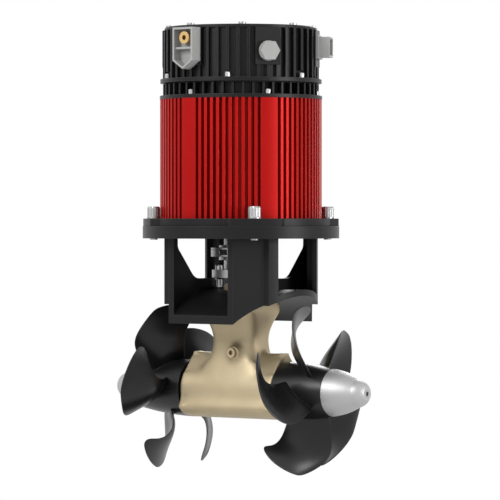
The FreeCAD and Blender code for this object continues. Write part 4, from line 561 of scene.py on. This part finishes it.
# %% The ring
step = calc("DIVIDE", math.tau, sizes.outputs["Count"])
bearing = calc("MULTIPLY", index.outputs["Index"], step)
screw_place = add_node(screw_tree, "ShaderNodeCombineXYZ")
for axis, operation in (("X", "COSINE"), ("Y", "SINE")):
    along = calc("MULTIPLY", calc(operation, bearing, 0.0), sizes.outputs["Circle"])
    screw_tree.links.new(along, screw_place.inputs[axis])
points = add_node(screw_tree, "GeometryNodePoints")
screw_tree.links.new(sizes.outputs["Count"], points.inputs["Count"])
screw_tree.links.new(screw_place.outputs["Vector"], points.inputs["Position"])
copies = add_node(screw_tree, "GeometryNodeInstanceOnPoints")
screw_tree.links.new(points.outputs["Points"], copies.inputs["Points"])
screw_tree.links.new(screw.outputs["Geometry"], copies.inputs["Instance"])
spin = add_node(screw_tree, "ShaderNodeCombineXYZ")
screw_tree.links.new(sizes.outputs["Turn"], spin.inputs["Z"])
lift = add_node(screw_tree, "ShaderNodeCombineXYZ")
screw_tree.links.new(seat, lift.inputs["Z"])
stand = add_node(screw_tree, "GeometryNodeTransform")
screw_tree.links.new(copies.outputs["Instances"], stand.inputs["Geometry"])
screw_tree.links.new(lift.outputs["Vector"], stand.inputs["Translation"])
screw_tree.links.new(spin.outputs["Vector"], stand.inputs["Rotation"])
real = add_node(screw_tree, "GeometryNodeRealizeInstances")
metal = add_node(screw_tree, "GeometryNodeSetMaterial")
screw_tree.links.new(stand.outputs["Geometry"], real.inputs["Geometry"])
screw_tree.links.new(real.outputs["Geometry"], metal.inputs["Geometry"])
screw_tree.links.new(sizes.outputs["Metal"], metal.inputs["Material"])
screw_tree.links.new(metal.outputs["Geometry"], screws_out.inputs["Mesh"])
print("screw tree:", len(screw_tree.nodes), "nodes")

# %% [markdown]
# ## Use the tree for each ring
#
# A modifier runs the tree on an empty mesh. Its inputs are set by identifier before it
# is first evaluated; then the result is frozen as plain mesh and the modifier is gone,
# so the piece can ride on a body like any other.

# %% Make the rings


def screw_ring(name, node, body_name, **values):
    """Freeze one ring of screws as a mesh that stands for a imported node."""
    holder = bpy.data.objects.new(name, bpy.data.meshes.new(name))
    bpy.context.scene.collection.objects.link(holder)
    maker = holder.modifiers.new("screws", "NODES")
    maker.node_group = screw_tree
    for item in screw_tree.interface.items_tree:
        if item.in_out == "INPUT" and item.name in values:
            maker[item.identifier] = values[item.name]
        elif item.in_out == "INPUT" and item.name == "Metal":
            maker[item.identifier] = bolt_steel
    bpy.context.view_layer.update()
    settled = holder.evaluated_get(bpy.context.evaluated_depsgraph_get())
    mesh = bpy.data.meshes.new_from_object(settled)
    holder.modifiers.clear()
    holder.data = mesh
    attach(holder, body_name)
    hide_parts(node)
    print(name, len(mesh.polygons), "faces")


def ring_from(node, count, circle, turn, head, shank, seat, knurl):
    """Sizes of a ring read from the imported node's own box and the head's known sizes."""
    low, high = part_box(node)
    return {"Count": count, "Circle": circle, "Turn": math.radians(turn), "Seat": seat,
            "Head": head, "Rise": high.z - seat, "Knurl": knurl, "Shank": shank,
            "Depth": seat - low.z}


motor_turn = -33.3
washer_top, case_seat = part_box("flange_washers")[1].z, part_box("gear_case_washers")[1].z
small_head_rise = 0.0048
plate_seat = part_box("end_plate_screws")[1].z - small_head_rise
cover_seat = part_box("cover_screws")[1].z - small_head_rise
lid_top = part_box("drive_lid")[1].z
# name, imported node, count, circle, turn in degrees, head, shank, seat, knurl
rings_of_screws = [
    ("flange_screws", "flange_bolts", 4, 0.091, 45, 0.0066, 0.004, washer_top, 0.05),
    ("case_screws", "gear_case_bolts", 2, 0.026, 0, 0.0065, 0.004, case_seat, 0.05),
    ("plate_screws", "end_plate_screws", 6, 0.079, motor_turn, 0.0029, 0.002, plate_seat, 0.05),
    ("cover_ring_screws", "cover_screws", 6, 0.0802, motor_turn + 30, 0.0029, 0.002,
     cover_seat, 0.05),
    ("lid_socket_screws", "lid_screws", 8, 0.0738, -52.5, 0.0039, 0.002, lid_top, 0.0),
]
for name, node, *measures in rings_of_screws:
    screw_ring(name, node, "housing", **ring_from(node, *measures))

# %% [markdown]
# ## Floor, backdrop and light
#
# The thruster hangs in the air over a white floor, as on a product page. The floor and
# the world show as white to the camera and in reflections, while the light that falls
# on the piece is set apart from them, so dark paint keeps its depth.

# %% Stage


def white_stage(name):
    """Pale matt floor, white to the camera and mirrors and clear from below."""
    material = bpy.data.materials.new(name)
    material.use_nodes = True
    tree = material.node_tree
    tree.nodes.clear()
    output = tree.nodes.new("ShaderNodeOutputMaterial")
    plain = add_node(tree, "ShaderNodeBsdfDiffuse", Color=(0.8, 0.8, 0.8, 1.0))
    glow = add_node(tree, "ShaderNodeEmission", Strength=1.0)
    ray = add_node(tree, "ShaderNodeLightPath")
    either = add_node(tree, "ShaderNodeMath", operation="MAXIMUM")
    choose = add_node(tree, "ShaderNodeMixShader")
    tree.links.new(ray.outputs["Is Camera Ray"], either.inputs[0])
    tree.links.new(ray.outputs["Is Glossy Ray"], either.inputs[1])
    tree.links.new(either.outputs["Value"], choose.inputs["Fac"])
    tree.links.new(plain.outputs["BSDF"], choose.inputs[1])
    tree.links.new(glow.outputs["Emission"], choose.inputs[2])
    side = add_node(tree, "ShaderNodeNewGeometry")
    clear = add_node(tree, "ShaderNodeBsdfTransparent")
    one_way = add_node(tree, "ShaderNodeMixShader")
    tree.links.new(side.outputs["Backfacing"], one_way.inputs["Fac"])
    tree.links.new(choose.outputs["Shader"], one_way.inputs[1])
    tree.links.new(clear.outputs["BSDF"], one_way.inputs[2])
    join(tree, one_way, "Shader", output, "Surface")
    return material


floor_mesh = bpy.data.meshes.new("floor")
half, floor_gap = 6.0, 0.035
depth = cad_box[0].z - floor_gap
floor_mesh.from_pydata([(-half, -half, depth), (half, -half, depth), (half, half, depth),
                        (-half, half, depth)], [], [(0, 1, 2, 3)])
floor = bpy.data.objects.new("floor", floor_mesh)
bpy.context.scene.collection.objects.link(floor)
floor_mesh.materials.append(white_stage("white_floor"))

world = bpy.data.worlds.new("studio")
bpy.context.scene.world = world
world.use_nodes = True
sky = world.node_tree
sky.nodes.clear()
sky_out = sky.nodes.new("ShaderNodeOutputWorld")
white = add_node(sky, "ShaderNodeBackground", Color=(1, 1, 1, 1), Strength=1.0)
fill = add_node(sky, "ShaderNodeBackground", Color=(1, 1, 1, 1), Strength=0.45)
sky_ray = add_node(sky, "ShaderNodeLightPath")
seen = add_node(sky, "ShaderNodeMath", operation="MAXIMUM")
seen_too = add_node(sky, "ShaderNodeMath", operation="MAXIMUM")
sky_mix = add_node(sky, "ShaderNodeMixShader")
sky.links.new(sky_ray.outputs["Is Camera Ray"], seen.inputs[0])
sky.links.new(sky_ray.outputs["Is Glossy Ray"], seen.inputs[1])
sky.links.new(seen.outputs["Value"], seen_too.inputs[0])
sky.links.new(sky_ray.outputs["Is Transmission Ray"], seen_too.inputs[1])
sky.links.new(seen_too.outputs["Value"], sky_mix.inputs["Fac"])
sky.links.new(fill.outputs["Background"], sky_mix.inputs[1])
sky.links.new(white.outputs["Background"], sky_mix.inputs[2])
join(sky, sky_mix, "Shader", sky_out, "Surface")
print("floor at", round(depth, 4))

# %% [markdown]
# Three large soft lamps shape the round forms: a key from the front left, a weaker one
# from the right that draws a bright line down the barrel, and a rim light from behind.

# %% Lamps


def soft_lamp(name, place, target, size, power):
    """A square area lamp that looks at a point."""
    lamp = bpy.data.lights.new(name, "AREA")
    lamp.shape, lamp.size, lamp.energy = "SQUARE", size, power
    made = bpy.data.objects.new(name, lamp)
    made.location = place
    made.rotation_euler = (Vector(target) - Vector(place)).to_track_quat("-Z", "Y").to_euler()
    bpy.context.scene.collection.objects.link(made)


aim = (0.0, 0.0, 0.14)
soft_lamp("key", (-0.3, -1.9, 1.2), aim, 0.9, 26)
soft_lamp("right_strip", (2.1, 0.35, 0.4), aim, 0.7, 18)
soft_lamp("back_rim", (-0.8, 1.6, 0.9), aim, 0.8, 12)

# %% [markdown]
# ## Camera
#
# The camera stands level, about three and a half metres off with a long lens, so that
# the upright barrel stays upright, and a small shift centres the thruster.

# %% Camera
camera_data = bpy.data.cameras.new("camera")
camera_data.lens, camera_data.sensor_width = 244.8, 36.0
camera_data.shift_x, camera_data.shift_y = 0.0174, -0.06
camera_data.clip_end = 50.0
camera = bpy.data.objects.new("camera", camera_data)
camera.location = (2.094, -2.829, 0.1753)
camera.rotation_euler = Vector((-0.595, 0.804, 0.0)).to_track_quat("-Z", "Y").to_euler()
bpy.context.scene.collection.objects.link(camera)
bpy.context.scene.camera = camera
bpy.context.scene.view_settings.view_transform = "Standard"
